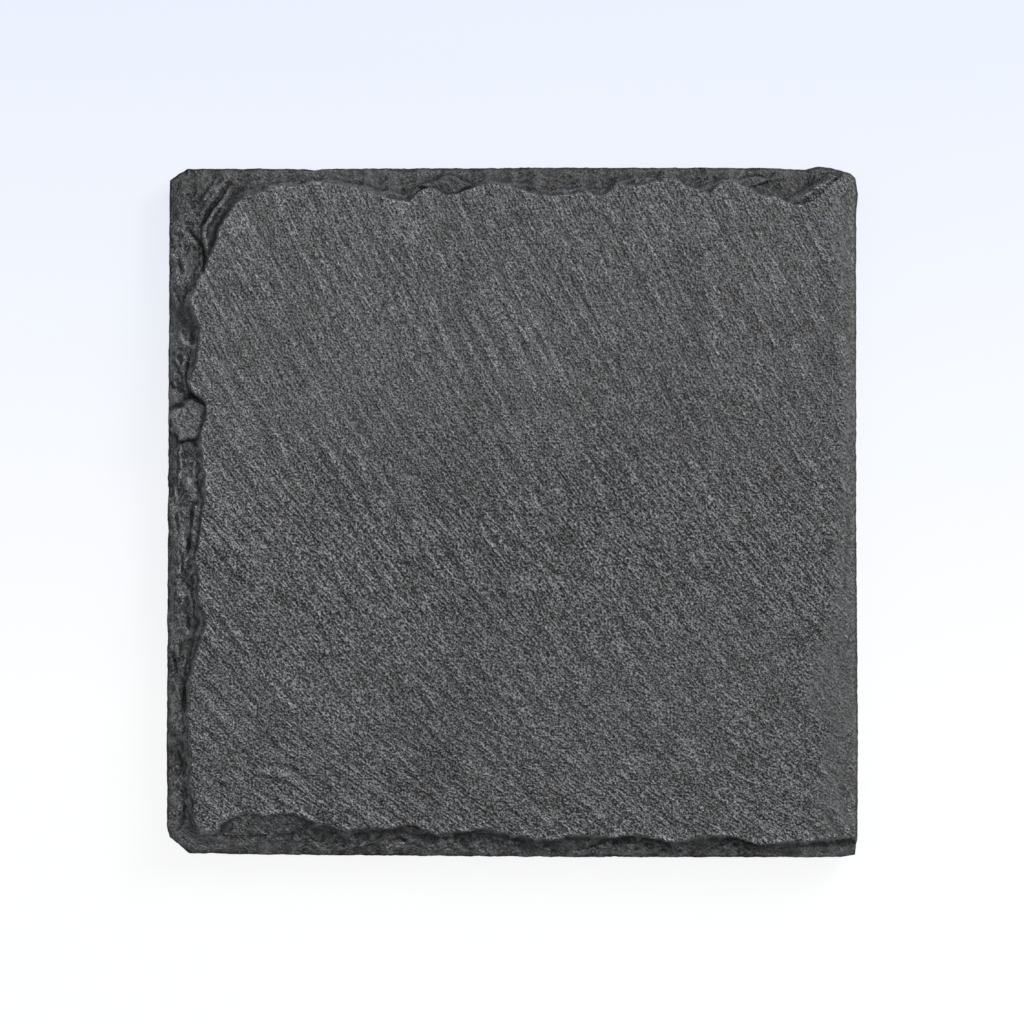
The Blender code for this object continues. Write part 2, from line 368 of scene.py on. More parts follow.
REAR_LEFT = np.array([slab_low.x / MM, slab_high.y / MM])
jitter_x = 0.10 * soft_noise(plan_x / 0.7, plan_y / 0.7, 28)
jitter_y = 0.10 * soft_noise(plan_x / 0.7, plan_y / 0.7, 29)


def near_line(line, margin):
    """Net points near a line: their numbers, distance, share of the way along and side.

    The side is 1 to the left of someone walking the line and -1 to the right."""
    line = REAR_LEFT + np.array(line, float) * (1, -1)
    low, high = line.min(0) - margin, line.max(0) + margin
    close = np.flatnonzero((plan_x > low[0]) & (plan_x < high[0])
                           & (plan_y > low[1]) & (plan_y < high[1]))
    x, y = (plan_x + jitter_x)[close], (plan_y + jitter_y)[close]
    lengths = np.hypot(*np.diff(line, axis=0).T)
    starts = np.concatenate([[0.0], np.cumsum(lengths)])
    distance, share, side = np.full(len(close), 1e9), np.zeros(len(close)), np.ones(len(close))
    for (ax, ay), (bx, by), length, start in zip(line, line[1:], lengths, starts):
        ux, uy = (bx - ax) / length, (by - ay) / length
        along = np.clip((x - ax) * ux + (y - ay) * uy, 0, length)
        off = np.hypot(x - ax - along * ux, y - ay - along * uy)
        nearer = off < distance
        distance[nearer] = off[nearer]
        share[nearer] = (start + along[nearer]) / starts[-1]
        side[nearer] = np.sign(ux * (y - ay) - uy * (x - ax))[nearer]
    return close, distance, share, side


def retrace(line, reach=1.7, slope=2.6):
    """Moves the break to this line, walked with the face on the left."""
    close, distance, share, side = near_line(line, reach)
    keep = (distance < reach) & (share > 0.0) & (share < 1.0)
    on_face = keep & (side > 0)
    ends = ease(0, 0.03, share) * ease(1, 0.97, share)
    fade = ease(reach, reach * 0.7, distance) * ends
    fallen[close[on_face]] *= (1 - fade)[on_face]
    beyond = keep & (side <= 0)
    steep = np.minimum(distance * slope, STEEP_DROP) * ease(reach, 0.8, distance) * ends
    fallen[close[beyond]] = np.maximum(fallen[close[beyond]], steep[beyond])


print("lines start at, mm:", REAR_LEFT)

# %% [markdown]
# The break is walked anticlockwise, with the face on the left: along the rear from right to left,
# down the left side, and along the front to the right. Its points lie one to three millimetres
# apart where little bites were taken, and further apart where it runs straight. The right side is
# worn and has no such line.

# %% The break along three sides
REAR_BREAK = [(92.7, 5.4), (91.6, 5.7), (90.3, 5.5),
              (89.3, 5.3), (88.4, 4.5), (87.2, 4.6), (86.0, 4.4), (85.1, 3.9), (84.0, 3.3),
              (82.9, 2.9), (82.0, 2.3), (81.3, 2.0), (80.5, 2.4), (79.4, 3.3), (78.4, 4.4),
              (76.9, 3.5), (75.8, 3.3), (74.9, 2.8), (73.9, 1.9), (72.6, 1.6), (71.4, 2.3),
              (69.1, 2.9), (67.6, 3.1), (66.0, 2.9), (65.2, 2.6), (64.6, 3.3), (63.9, 4.1),
              (62.9, 4.5), (61.6, 4.4), (60.4, 3.6), (59.1, 4.3), (57.4, 4.4), (55.6, 4.5),
              (53.8, 4.3), (52.0, 3.8), (50.1, 3.3), (48.9, 2.8), (47.0, 2.7), (45.6, 3.0),
              (44.3, 3.3), (43.2, 3.6), (42.2, 4.1), (41.1, 4.4), (40.0, 4.2), (38.9, 3.4),
              (37.8, 3.3), (36.7, 3.6), (35.8, 4.5), (35.2, 5.3), (34.5, 5.3), (33.0, 5.1),
              (32.0, 4.8), (30.1, 4.0), (28.5, 3.4), (26.1, 3.0), (24.0, 2.7), (22.5, 2.5),
              (20.7, 2.4), (19.5, 2.8), (17.5, 3.1), (15.4, 3.1)]
LEFT_BREAK = [(16.4, 3.1), (13.0, 4.2), (11.5, 4.6), (9.9, 5.8), (8.6, 7.9), (7.8, 9.1), (7.5, 10.7),
              (6.4, 13.2), (5.6, 15.6), (4.6, 17.0), (3.6, 19.7), (4.4, 21.6), (5.1, 23.6),
              (4.9, 26.0), (4.65, 28.2), (4.05, 30.0), (3.7, 31.5), (3.6, 32.4), (4.35, 33.1),
              (5.0, 33.6), (5.9, 34.4), (6.0, 35.9), (5.5, 37.4), (5.2, 39.0), (5.0, 39.9),
              (5.4, 42.0), (5.8, 44.2), (5.9, 45.8), (5.7, 47.3), (5.8, 48.9), (5.3, 50.5),
              (5.0, 53.0), (4.7, 56.0), (4.4, 57.6), (4.8, 58.4), (5.1, 59.6), (4.8, 61.5),
              (5.1, 63.1), (5.8, 64.4), (6.1, 66.0), (5.5, 67.5), (5.1, 68.9), (4.3, 71.5),
              (3.8, 73.4), (3.4, 78.7), (3.6, 86.0), (4.1, 93.0), (4.3, 94.2), (4.5, 95.3),
              (5.8, 95.9), (7.2, 95.8), (8.0, 95.0), (9.0, 94.4), (10.6, 94.0)]
FRONT_BREAK = [(9.4, 94.4), (10.2, 94.2), (11.2, 93.5), (12.4, 93.6), (13.4, 93.6), (14.6, 94.0),
               (15.8, 93.7), (18.1, 93.7), (19.1, 93.9), (20.3, 94.6), (22.1, 94.9), (23.8, 95.2),
               (25.8, 95.8), (27.4, 95.7), (30.3, 95.4), (31.6, 95.7), (33.0, 95.6), (33.8, 95.2),
               (34.9, 95.0), (36.5, 95.1), (37.2, 95.7), (38.3, 96.1), (39.4, 96.7), (40.3, 96.1),
               (41.4, 96.0), (43.1, 96.2), (44.1, 96.0), (45.1, 95.7), (47.2, 95.8), (48.5, 96.2),
               (50.0, 96.5), (51.4, 96.5), (52.7, 97.1), (54.0, 97.2), (55.6, 97.4), (56.7, 97.2),
               (57.8, 96.8), (59.2, 96.6), (62.5, 96.6), (63.6, 96.9), (64.7, 97.1), (65.4, 96.9),
               (68.3, 96.6), (70.5, 97.1), (72.3, 97.6), (75.3, 97.5), (76.0, 96.9), (77.3, 96.6),
               (80.5, 96.7), (81.8, 96.8), (82.7, 97.1), (84.2, 97.6), (85.6, 98.1), (86.9, 97.9),
               (88.7, 97.7), (90.5, 97.4), (92.4, 97.7), (94.5, 97.1), (97.1, 97.2), (99.3, 97.1)]
for line in (REAR_BREAK, LEFT_BREAK, FRONT_BREAK):
    retrace(line)
broken = ease(0.02, 0.25, fallen) * liveliness
print("broken share of the plan:", broken.mean().round(3))

# %% [markdown]
# The scars are carved next, and the sheets after them. The sheets' thickness is drawn by lot once,
# and the rim below uses the same list, so that a step on the bevel carries on as a line in the rim.

# %% Scars and sheets
CHIP_WIDTH = 0.95
SCAR_DEPTH, CHIP_DEPTH = 1.15, 0.20
LEVEL_BOWL = 0.42               # the bowl that leaves the depth as it is
SHEETS = 24
SHEET_THIN, SHEET_THICK = 0.22, 0.75

chips = scars(plan_x / CHIP_WIDTH + 0.8 * jitter_x, plan_y / CHIP_WIDTH, 32)[0]
room = np.minimum(1.0, fallen / 0.9)
carved = fallen + liveliness * room * (SCAR_DEPTH * (LEVEL_BOWL - bowls)
                                       + CHIP_DEPTH * (LEVEL_BOWL - chips))
carved = np.maximum(carved, 0.35 * fallen)

thicknesses = np.random.default_rng(41).uniform(SHEET_THIN, SHEET_THICK, SHEETS)
sheet_levels = np.concatenate([[0.0], np.cumsum(thicknesses)])


def stepped(depth):
    """The depth with level treads at the sheets and steep risers between them."""
    sheet = np.clip(np.searchsorted(sheet_levels, depth, side="right") - 1, 0, SHEETS - 1)
    top, bottom = sheet_levels[sheet], sheet_levels[sheet + 1]
    return top + (bottom - top) * ease(0.30, 0.58, (depth - top) / (bottom - top))


ragged = (0.30 * soft_noise(plan_x / 1.9, plan_y / 1.9, 42)
          + 0.10 * soft_noise(plan_x / 0.7, plan_y / 0.7, 43))
step_share = 0.30 + 0.65 * ease(-0.35, 0.25, soft_noise(plan_x / 5.0, plan_y / 5.0, 44))
stepped_depth = stepped(np.maximum(carved + ragged * broken, 0)) - 0.5 * ragged * broken
carved += (stepped_depth - carved) * step_share * broken
carved += 0.03 * broken * soft_noise(plan_x / 0.45, plan_y / 0.45, 45)
print("deepest, mm:", carved.max().round(2), "in", (carved.max() > sheet_levels).sum(), "sheets")

# %% [markdown]
# ## Smooth and torn stone
# Besides its height, each point of the net gets two numbers for the finish. The pale mark is
# bruised stone, whiter where a ridge took a blow, and a painted highlight on such ridges as well.
# `calm` is clean fracture, which is smooth and darker.
# The right side is neither knapped nor torn. It is worn, and its smooth margin has an inner border
# that wanders.

# %% Pale and calm stone
pale_and_painted_light = np.zeros(NX * NY)
clean_scar = ease(0.35, 0.6, scar_owner)
calm = 0.8 * clean_scar * broken * knapped

# (forward, right) of the smooth margin's inner border, in millimetres
MARGIN = [(0, 96.5), (7, 95.9), (12, 95.9), (13.5, 97.3), (19.5, 97.3), (22, 97.8), (36, 97.8),
          (38, 97.1), (45, 96.8), (48, 97.2), (54, 96.4), (65, 96.0), (68, 93.5), (73, 93.0),
          (78, 92.3), (81, 95.8), (84, 95.2), (86, 94.2), (92, 93.6), (100, 93.6)]
forward_mm, right_mm = HALF_DEPTH - plan_y, HALF_WIDTH + plan_x
margin = np.interp(forward_mm, *np.array(MARGIN, float).T)
margin += 0.9 * soft_noise(plan_x / 2.4, plan_y / 2.4, 35)
margin += 0.4 * soft_noise(plan_x / 0.7, plan_y / 0.7, 36)
worn = ease(-0.6, 0.9, right_mm - margin) * (0.68 + 0.35 * soft_noise(plan_x / 1.5, plan_y / 2.5, 37))
calm = np.maximum(calm, worn * ease(3.5, 5.0, forward_mm))
print("calm share of the plan:", (calm > 0.5).mean().round(3))

# %% [markdown]
# ## Tools for marks placed one by one
# Noise alone makes an edge that could belong to any slate. What tells one slab from the next is its
# larger marks, and six small tools make them all. `cut` opens a crack and `pit` a hole, `fin`
# leaves a ridge standing, `plate` lays a sheet bare, `rough_patch` tears the stone and `facet`
# smooths it. Each works only on the points near a line or an outline, so a hundred marks are cheap.

# %% Tools for marks
def end_taper(share, sharpness=0.6):
    """0 at both ends of a line and 1 in its middle."""
    return np.sin(np.pi * np.clip(share, 0.02, 0.98)) ** sharpness


def cut(line, width, depth):
    """A crack; width is how far it reaches to each side, and all sizes are millimetres."""
    close, distance, share, side = near_line(line, width)
    carved[close] += depth * np.clip(1 - distance / width, 0, 1) ** 0.8 * end_taper(share)


def fin(line, width, rise, paleness=0.8):
    """A ridge left standing, paler than the stone beside it: bruised, and with a painted highlight."""
    close, distance, share, side = near_line(line, width)
    shape = np.clip(1 - distance / width, 0, 1) ** 0.7 * end_taper(share)
    carved[close] -= rise * shape
    pale_and_painted_light[close] = np.maximum(pale_and_painted_light[close], paleness * shape)
    calm[close] *= 1 - shape


def pit(right, forward, radius, depth):
    """A small round hole."""
    cut([(right - 0.02, forward), (right + 0.02, forward)], radius, depth)


def inside(outline, soft=0.1):
    """1 inside an outline and 0 outside it, with a ragged border of twice soft millimetres."""
    close, distance, share, side = near_line(outline + outline[:1], 3 * soft)
    line = REAR_LEFT + np.array(outline, float) * (1, -1)
    x, y = (plan_x + jitter_x)[close], (plan_y + jitter_y)[close]
    within = np.zeros(len(close), bool)
    for (ax, ay), (bx, by) in zip(line, np.roll(line, -1, axis=0)):
        crosses = (ay > y) != (by > y)
        within ^= crosses & (x < (bx - ax) * (y - ay) / (by - ay + 1e-12) + ax)
    return close, ease(-soft, soft, np.where(within, distance, -distance))


def plate(outline, depth, roughness=0.05, tilt=0.0, soft=0.1):
    """Lays a sheet bare; tilt is how many millimetres it falls for each one forward."""
    close, share = inside(outline, soft)
    level = depth + roughness * soft_noise(plan_x[close] / 0.8, plan_y[close] / 0.8, 47)
    level += tilt * (forward_mm[close] - min(point[1] for point in outline))
    carved[close] += (level - carved[close]) * share
    calm[close] *= 1 - 0.85 * share


def rough_patch(outline, rise=0.15, paleness=0.3):
    """A torn place that is paler and coarser than the smooth fracture round it, and a bit proud."""
    close, share = inside(outline, 0.45)
    carved[close] -= rise * share * (1 + 0.5 * soft_noise(plan_x[close] / 0.6, plan_y[close] / 0.6, 48))
    calm[close] *= 1 - share
    pale_and_painted_light[close] = np.maximum(pale_and_painted_light[close], paleness * share)


def facet(outline, amount=1.0):
    """Clean fracture: the height stays, and the finish gets smooth and dark."""
    close, share = inside(outline)
    calm[close] = np.maximum(calm[close], amount * share)


print("net points the tools work on:", len(carved))

# %% [markdown]
# ## The rear left corner
# The largest flake came off this corner. It left two fins standing side by side with a cleft
# between them, and a clean facet under the break.

# %% Marks at the rear left corner
facet([(0.4, 1.2), (2.2, 0.3), (7.8, 0.4), (6.0, 3.2), (4.2, 5.6), (3.0, 8.6), (0.3, 9.0)], 0.5)
facet([(11.4, 4.5), (9.9, 5.8), (8.6, 7.9), (7.8, 9.1), (7.5, 10.7), (6.4, 13.2), (5.6, 15.6),
       (5.5, 13.4), (6.1, 11.5), (5.7, 9.9), (5.9, 8.8), (7.0, 6.8), (8.3, 5.4), (9.4, 3.4)])
facet([(9.2, 2.2), (9.6, 1.8), (13.2, 1.9), (14.8, 3.0), (13.0, 4.1), (11.4, 4.5), (9.5, 4.4)], 0.8)
cut([(9.2, 2.0), (7.7, 4.7), (6.6, 6.0), (5.6, 7.9), (5.0, 10.1)], 0.55, 0.9)
cut([(9.9, 4.6), (8.4, 6.4), (7.3, 8.2), (6.7, 10.4), (6.5, 12.4)], 0.8, 0.7)
fin([(9.1, 3.2), (8.1, 5.4), (7.0, 6.6), (6.4, 7.8), (5.6, 8.8), (5.5, 10.1), (6.0, 11.7),
     (5.9, 13.0)], 0.42, 1.1, 1.0)
fin([(9.0, 1.7), (7.4, 3.6), (6.2, 5.4), (5.3, 6.6)], 0.6, 0.6, 0.55)
fin([(7.6, 1.7), (6.2, 3.9), (5.0, 5.6)], 0.4, 0.4, 0.35)
cut([(6.9, 1.9), (5.5, 4.0), (4.2, 5.8)], 0.4, 0.5)
cut([(3.1, 9.0), (4.0, 10.1), (5.0, 11.0), (5.5, 12.1), (5.6, 13.4), (5.5, 15.8)], 0.34, 1.3)
fin([(3.2, 10.0), (4.2, 11.2), (4.9, 12.5)], 0.3, 0.25, 0.3)
pit(20.6, 1.3, 0.42, 0.9)
pit(13.0, 6.6, 0.3, 0.35)
print("palest so far:", pale_and_painted_light.max().round(2))

# %% [markdown]
# ## The left side
# A third of the way along is a notch, where one sheet lies bare: a level plate with a cleft behind
# it and a crack before it. Half way along, a long crack has a ledge beside it. Everywhere else the
# blows fell close together, and left torn patches, little fins and cuts along the whole side.

# %% Marks in the notch
plate([(0.9, 35.4), (2.2, 34.9), (4.2, 34.2), (5.9, 34.5), (5.9, 36.0), (5.4, 37.5), (4.9, 39.2),
       (1.9, 39.6), (1.7, 38.0), (0.9, 36.2)], 1.25, 0.09)
cut([(2.3, 34.1), (3.0, 33.5), (3.9, 33.3), (5.0, 33.8), (6.0, 34.4)], 0.5, 1.5)
cut([(0.9, 34.6), (2.7, 34.7)], 0.45, 1.1)
cut([(1.7, 39.9), (3.2, 39.7), (4.5, 39.4)], 0.30, 1.3)
fin([(0.4, 35.2), (1.0, 36.6), (1.5, 37.9)], 0.22, 0.5, 0.7)
pit(0.9, 37.6, 0.35, 0.7)
facet([(0.2, 36.8), (0.8, 36.6), (1.5, 38.6), (1.7, 40.0), (0.2, 40.2)], 0.9)
for line in ([(0.6, 35.8), (0.9, 37.2), (1.3, 38.4), (1.6, 39.6)],
             [(2.5, 34.8), (4.1, 36.4), (5.0, 37.0)],
             [(3.5, 36.0), (2.0, 37.5)], [(2.7, 38.0), (2.5, 39.2)]):
    cut(line, 0.2, 0.3)
cut([(5.7, 38.2), (6.1, 38.9), (6.5, 39.4)], 0.2, 0.4)
in_notch = (right_mm > 2) & (right_mm < 5) & (abs(forward_mm - 37) < 1)
print("notch depth, mm:", carved[in_notch].mean().round(2))

# %% Marks along the left side
facet([(0.2, 40.2), (1.7, 40.0), (1.6, 46.8), (0.2, 47.8)], 0.9)
rough_patch([(2.6, 42.5), (4.3, 41.5), (4.6, 43.8), (4.4, 46.0), (4.9, 48.5), (3.6, 48.4), (2.6, 46.0)],
            0.5, 0.35)
cut([(5.4, 44.6), (5.0, 46.8), (5.0, 48.8)], 0.3, 0.5)
cut([(6.1, 42.6), (6.6, 43.4), (7.0, 44.4), (6.6, 45.4)], 0.2, 0.2)
rough_patch([(0.3, 47.8), (1.6, 49.4), (2.8, 52.5), (3.0, 55.5), (1.8, 55.6), (1.4, 52.5), (0.4, 50.0)],
            0.4, 0.4)
for outline in ([(1.4, 58.0), (3.0, 57.2), (3.4, 61.0), (1.8, 62.6)],
                [(0.6, 76.0), (2.0, 77.0), (2.6, 81.5), (1.2, 82.0)],
                [(0.5, 89.0), (2.2, 88.4), (3.0, 92.0), (1.6, 93.6)],
                [(2.0, 24.5), (3.6, 24.0), (3.8, 28.4), (2.4, 28.8)],
                [(0.5, 66.0), (2.0, 66.8), (1.8, 70.5), (0.6, 69.8)],
                [(0.6, 12.2), (2.4, 11.6), (3.2, 16.0), (1.2, 16.8)]):
    rough_patch(outline, 0.3, 0.35)
for outline in ([(2.6, 82.0), (3.6, 81.5), (3.9, 91.0), (2.9, 90.5)],
                [(0.3, 56.2), (1.4, 56.5), (1.2, 65.0), (0.2, 64.5)],
                [(1.6, 18.0), (3.4, 19.6), (4.4, 22.8), (3.0, 23.4)],
                [(3.2, 66.5), (5.6, 66.4), (4.4, 71.0), (3.0, 72.0)]):
    facet(outline, 0.9)
fin([(2.2, 40.3), (2.1, 41.8), (2.2, 43.4), (1.9, 46.2)], 0.28, 0.6, 0.9)
fin([(1.2, 31.2), (1.4, 32.0), (1.6, 32.8)], 0.3, 0.4, 0.6)
plate([(4.2, 49.0), (5.4, 49.2), (5.0, 53.0), (4.6, 55.4), (3.8, 55.4), (3.9, 52.0)], 1.1)
cut([(3.9, 48.7), (3.7, 51.8), (3.4, 54.0), (3.2, 55.7), (2.8, 59.9)], 0.32, 0.45)
for line in ([(3.4, 55.7), (2.6, 58.1), (2.2, 59.5)], [(4.2, 57.7), (3.4, 59.3), (2.7, 60.3)],
             [(3.2, 61.3), (3.6, 62.6), (3.9, 64.0)], [(1.7, 55.6), (2.0, 57.3)],
             [(1.3, 61.3), (2.1, 61.9), (2.5, 62.8), (2.0, 63.8)], [(2.6, 66.0), (3.4, 68.0)],
             [(3.0, 70.5), (2.4, 72.8)], [(1.5, 75.0), (2.1, 77.4)], [(2.4, 80.5), (1.9, 83.0)],
             [(2.1, 24.0), (2.9, 26.2)], [(1.3, 27.6), (2.2, 29.4)], [(1.0, 18.0), (1.9, 20.5)],
             [(2.6, 45.0), (3.4, 47.2)], [(1.2, 46.0), (1.6, 48.4)]):
    fin(line, 0.3, 0.45, 0.75)
for line in ([(2.6, 57.0), (2.3, 60.4)], [(3.0, 63.8), (3.3, 66.9)], [(1.4, 50.0), (1.9, 53.5)],
             [(2.5, 90.6), (2.7, 94.3)], [(3.8, 90.1), (4.0, 93.9)], [(1.8, 84.0), (2.6, 87.5)],
             [(1.0, 70.0), (1.6, 73.0)], [(2.8, 74.0), (2.6, 78.5)], [(1.6, 12.5), (2.4, 15.8)],
             [(2.9, 17.2), (2.6, 20.4)], [(3.4, 28.0), (2.9, 31.0)]):
    cut(line, 0.34, 0.8)
print("pale share of the plan:", (pale_and_painted_light > 0.2).mean().round(4))

# %% [markdown]
# ## The rear and right sides
# The rear side has a lens-shaped shelf with a crack at its end, and ripples inside a wide scar: the
# waves that a blow sends through stone. The worn right side has only two smooth patches, a few dark
# arcs and thin pale lines.

# %% Marks at the rear side
plate([(36.0, 2.9), (38.0, 2.6), (39.2, 2.1), (40.4, 1.4), (41.6, 1.5), (42.6, 2.1), (44.0, 2.8),
       (43.0, 3.4), (42.0, 3.9), (41.0, 4.1), (40.0, 3.8), (38.9, 3.1), (37.4, 3.1)], 0.55, 0.2)
cut([(35.1, 5.3), (35.8, 4.5), (36.7, 3.6), (38.0, 3.3)], 0.26, 0.6)
fin([(52.7, 2.5), (54.9, 3.0), (56.7, 3.4), (58.5, 3.6), (60.4, 3.3)], 0.22, 0.2, 0.5)
fin([(54.6, 3.4), (56.5, 3.9), (59.0, 3.9)], 0.2, 0.15, 0.5)
cut([(47.1, 2.8), (46.3, 4.4), (45.6, 5.2)], 0.2, 0.25)
cut([(44.3, 3.5), (44.5, 4.9)], 0.2, 0.16)
plate([(71.2, 1.8), (71.8, 0.7), (73.2, 0.5), (74.2, 1.0), (73.9, 2.1), (72.6, 1.9)], 0.5, 0.15)
cut([(74.1, 0.6), (73.4, 1.8)], 0.25, 0.5)
cut([(74.8, 2.0), (73.2, 3.6)], 0.22, 0.3)
cut([(73.4, 2.1), (72.6, 3.0)], 0.2, 0.25)
for spot in ((32.2, 6.0), (39.1, 4.3), (25.2, 6.3), (43.0, 5.9)):
    pit(*spot, 0.3, 0.3)
print("depth at the rear, mm: up to", carved[forward_mm < 6].max().round(2))

# %% Marks at the right side
facet([(95.0, 83.2), (97.1, 82.8), (97.0, 84.4), (95.4, 85.2)], 0.95)
facet([(96.2, 80.2), (99.4, 80.8), (98.2, 82.4), (96.4, 82.2)], 0.95)
for line in ([(94.5, 45.9), (96.4, 45.5), (97.3, 46.1), (97.8, 47.6)],
             [(93.8, 47.4), (95.2, 47.0), (96.6, 47.9)], [(91.8, 68.7), (93.4, 67.6), (94.4, 67.0)],
             [(96.5, 82.9), (98.2, 82.6), (99.4, 81.6), (100.0, 81.0)], [(96.9, 69.0), (97.0, 71.0)]):
    cut(line, 0.28, 0.2)
for line in ([(98.3, 88.4), (98.0, 91.3), (98.8, 94.0)], [(99.1, 90.8), (99.8, 93.2)],
             [(95.5, 61.0), (95.4, 63.0), (95.7, 65.3)], [(97.6, 30.5), (98.1, 34.0)],
             [(94.4, 97.0), (95.2, 96.6)], [(96.2, 97.0), (97.0, 96.5)], [(98.4, 97.0), (99.4, 96.7)]):
    fin(line, 0.24, 0.06, 0.4)
print("depth at the right, mm: up to", carved[right_mm > 94].max().round(2))

# %% [markdown]
# ## The other corners
# Across the rear right corner slants a bare sheet, with a ridge between two cracks on it. To the
# left of it is a lens-shaped scar. At the front left corner a second break runs below the first: a
# sheet that slopes down to the bevel.

# %% Marks at the rear right corner
plate([(89.6, 5.0), (91.7, 3.8), (93.8, 2.6), (95.9, 1.2), (97.0, 1.6), (95.4, 3.4), (93.9, 4.8),
       (92.4, 5.6), (90.4, 5.7)], 0.45, 0.25)
cut([(90.0, 4.9), (91.7, 4.1), (93.8, 2.9), (94.8, 2.3), (96.1, 1.2)], 0.36, 0.55)
fin([(90.4, 5.1), (91.8, 4.7), (93.9, 3.4), (95.1, 2.6)], 0.3, 0.2, 0.35)
cut([(90.0, 5.5), (91.7, 5.6), (92.9, 4.7), (94.1, 3.4)], 0.28, 0.35)
cut([(93.4, 6.5), (94.5, 6.9), (95.4, 6.6)], 0.2, 0.15)
cut([(96.6, 2.5), (97.4, 2.2), (98.2, 1.2)], 0.25, 0.45)
cut([(87.0, 1.9), (87.4, 1.5), (87.9, 1.2)], 0.25, 0.6)
plate([(82.9, 2.2), (84.0, 1.7), (85.6, 1.6), (86.9, 2.0), (86.2, 2.6), (84.7, 3.0), (83.4, 2.8)],
      1.0, 0.15)
cut([(82.8, 2.0), (84.0, 1.5), (85.6, 1.4), (87.0, 1.8)], 0.24, 0.4)
cut([(84.0, 9.2), (84.8, 9.3), (85.7, 9.5)], 0.2, 0.3)
at_corner = (right_mm > 86) & (forward_mm < 10)
print("depth at the rear right corner, mm: up to", carved[at_corner].max().round(2))

# %% Marks at the front left corner
plate([(7.9, 95.2), (9.2, 94.3), (10.8, 93.6), (12.4, 93.4), (14.6, 93.8), (15.8, 93.5), (18.1, 93.5),
       (19.2, 93.8), (21.5, 94.8), (20.0, 96.0), (16.6, 96.6), (12.6, 96.7), (9.6, 96.9),
       (8.0, 96.5)], 0.65, roughness=0.2, tilt=0.62, soft=0.25)
facet([(7.5, 94.6), (9.2, 94.2), (9.7, 95.2), (9.4, 96.4), (7.9, 96.5)], 0.9)
cut([(5.2, 96.5), (7.2, 96.6), (9.0, 96.9)], 0.3, 0.2)
rough_patch([(10.2, 98.2), (12.4, 97.6), (14.4, 98.6), (12.2, 99.4)], 0.1)
rough_patch([(16.4, 97.4), (19.0, 97.2), (20.4, 98.4), (18.0, 98.8)], 0.1)
cut([(16.9, 95.3), (18.1, 95.0), (19.0, 94.9)], 0.2, 0.25)
at_corner = (right_mm < 24) & (forward_mm > 93)
print("depth at the front left corner, mm: up to", carved[at_corner].max().round(2))

# %% [markdown]
# ## The front side
# Each blow on this side left the same pair of marks: a smooth hollow right under the break, and
# below it a rough, lens-shaped sheet where the flake tore away.

# %% Marks at the front side
for outline in ([(33.0, 95.6), (35.0, 95.1), (36.9, 95.6), (37.2, 96.8), (35.2, 97.3), (33.0, 96.8)],
                [(44.2, 96.0), (46.0, 95.7), (48.4, 96.2), (50.4, 97.4), (48.2, 97.5), (45.0, 96.9)],
                [(49.8, 96.8), (52.4, 97.4), (55.6, 97.7), (56.8, 98.7), (54.6, 99.3), (51.6, 98.6)],
                [(56.4, 97.4), (59.0, 96.8), (62.6, 96.9), (61.0, 98.2), (58.2, 98.8), (56.4, 98.6)],
                [(65.2, 97.2), (68.4, 96.8), (70.8, 97.5), (68.0, 97.7)],
                [(75.8, 97.3), (77.4, 96.9), (81.4, 97.0), (79.6, 98.0), (77.0, 98.8)],
                [(83.2, 97.4), (86.2, 98.4), (90.4, 97.8), (92.2, 98.2), (87.6, 99.1), (84.0, 98.6)],
                [(23.0, 95.4), (26.6, 96.2), (30.4, 95.8), (30.0, 97.4), (25.4, 97.3)],
                [(11.6, 98.0), (16.0, 97.4), (19.6, 97.6), (18.0, 99.0), (13.6, 99.2)]):
    facet(outline, 0.95)
for outline in ([(37.6, 98.0), (39.8, 97.2), (42.6, 97.4), (43.6, 98.6), (40.4, 99.4)],
                [(44.0, 97.8), (46.4, 97.2), (48.6, 98.2), (47.4, 99.4), (44.8, 99.4)],
                [(58.4, 99.0), (61.2, 98.4), (64.2, 97.5), (63.4, 99.2), (60.4, 99.6)],
                [(65.0, 98.0), (69.0, 97.9), (71.6, 98.4), (69.2, 99.4), (65.2, 99.4)],
                [(30.6, 97.8), (33.4, 97.4), (35.4, 98.2), (32.6, 99.2)],
                [(20.4, 97.2), (23.6, 97.8), (26.8, 98.2), (23.8, 99.3), (20.6, 99.0)],
                [(80.8, 98.0), (83.2, 98.3), (84.6, 99.2), (81.4, 99.5)],
                [(91.4, 98.8), (94.6, 98.3), (98.6, 98.6), (97.2, 99.6), (92.6, 99.6)]):
    rough_patch(outline)
for line in ([(48.1, 96.3), (50.0, 97.1), (52.7, 97.9), (54.6, 98.9)],
             [(55.2, 99.1), (58.1, 99.0), (60.9, 98.6), (62.7, 97.8), (64.6, 97.2)],
             [(68.9, 97.0), (71.4, 97.7), (73.8, 98.7), (74.6, 99.2)],
             [(74.8, 99.2), (77.8, 99.2), (78.9, 98.5), (80.3, 98.0), (82.0, 97.2)],
             [(82.2, 97.1), (84.7, 97.8), (85.9, 98.4)], [(37.9, 96.3), (39.4, 97.0), (40.3, 96.3)],
             [(43.4, 96.4), (45.1, 95.9), (46.6, 96.0)], [(64.4, 97.4), (66.8, 96.9), (68.6, 96.8)],
             [(22.2, 95.2), (24.0, 95.5), (26.0, 96.1)], [(33.6, 95.6), (35.0, 95.3), (36.4, 95.4)]):
    cut(line, 0.28, 0.28)
for line in ([(32.8, 98.4), (34.0, 97.9), (35.3, 97.6)], [(54.6, 98.6), (55.7, 98.7)],
             [(60.6, 97.9), (61.8, 97.3)], [(80.7, 98.3), (82.6, 98.6)], [(20.8, 97.6), (22.4, 98.6)],
             [(27.7, 98.3), (28.9, 97.7)], [(43.6, 97.9), (44.9, 98.3)], [(70.6, 98.9), (71.8, 98.4)]):
    fin(line, 0.3, 0.22, 0.7)
print("pale share of the plan:", (pale_and_painted_light > 0.2).mean().round(4), "deepest, mm:", carved.max().round(2))

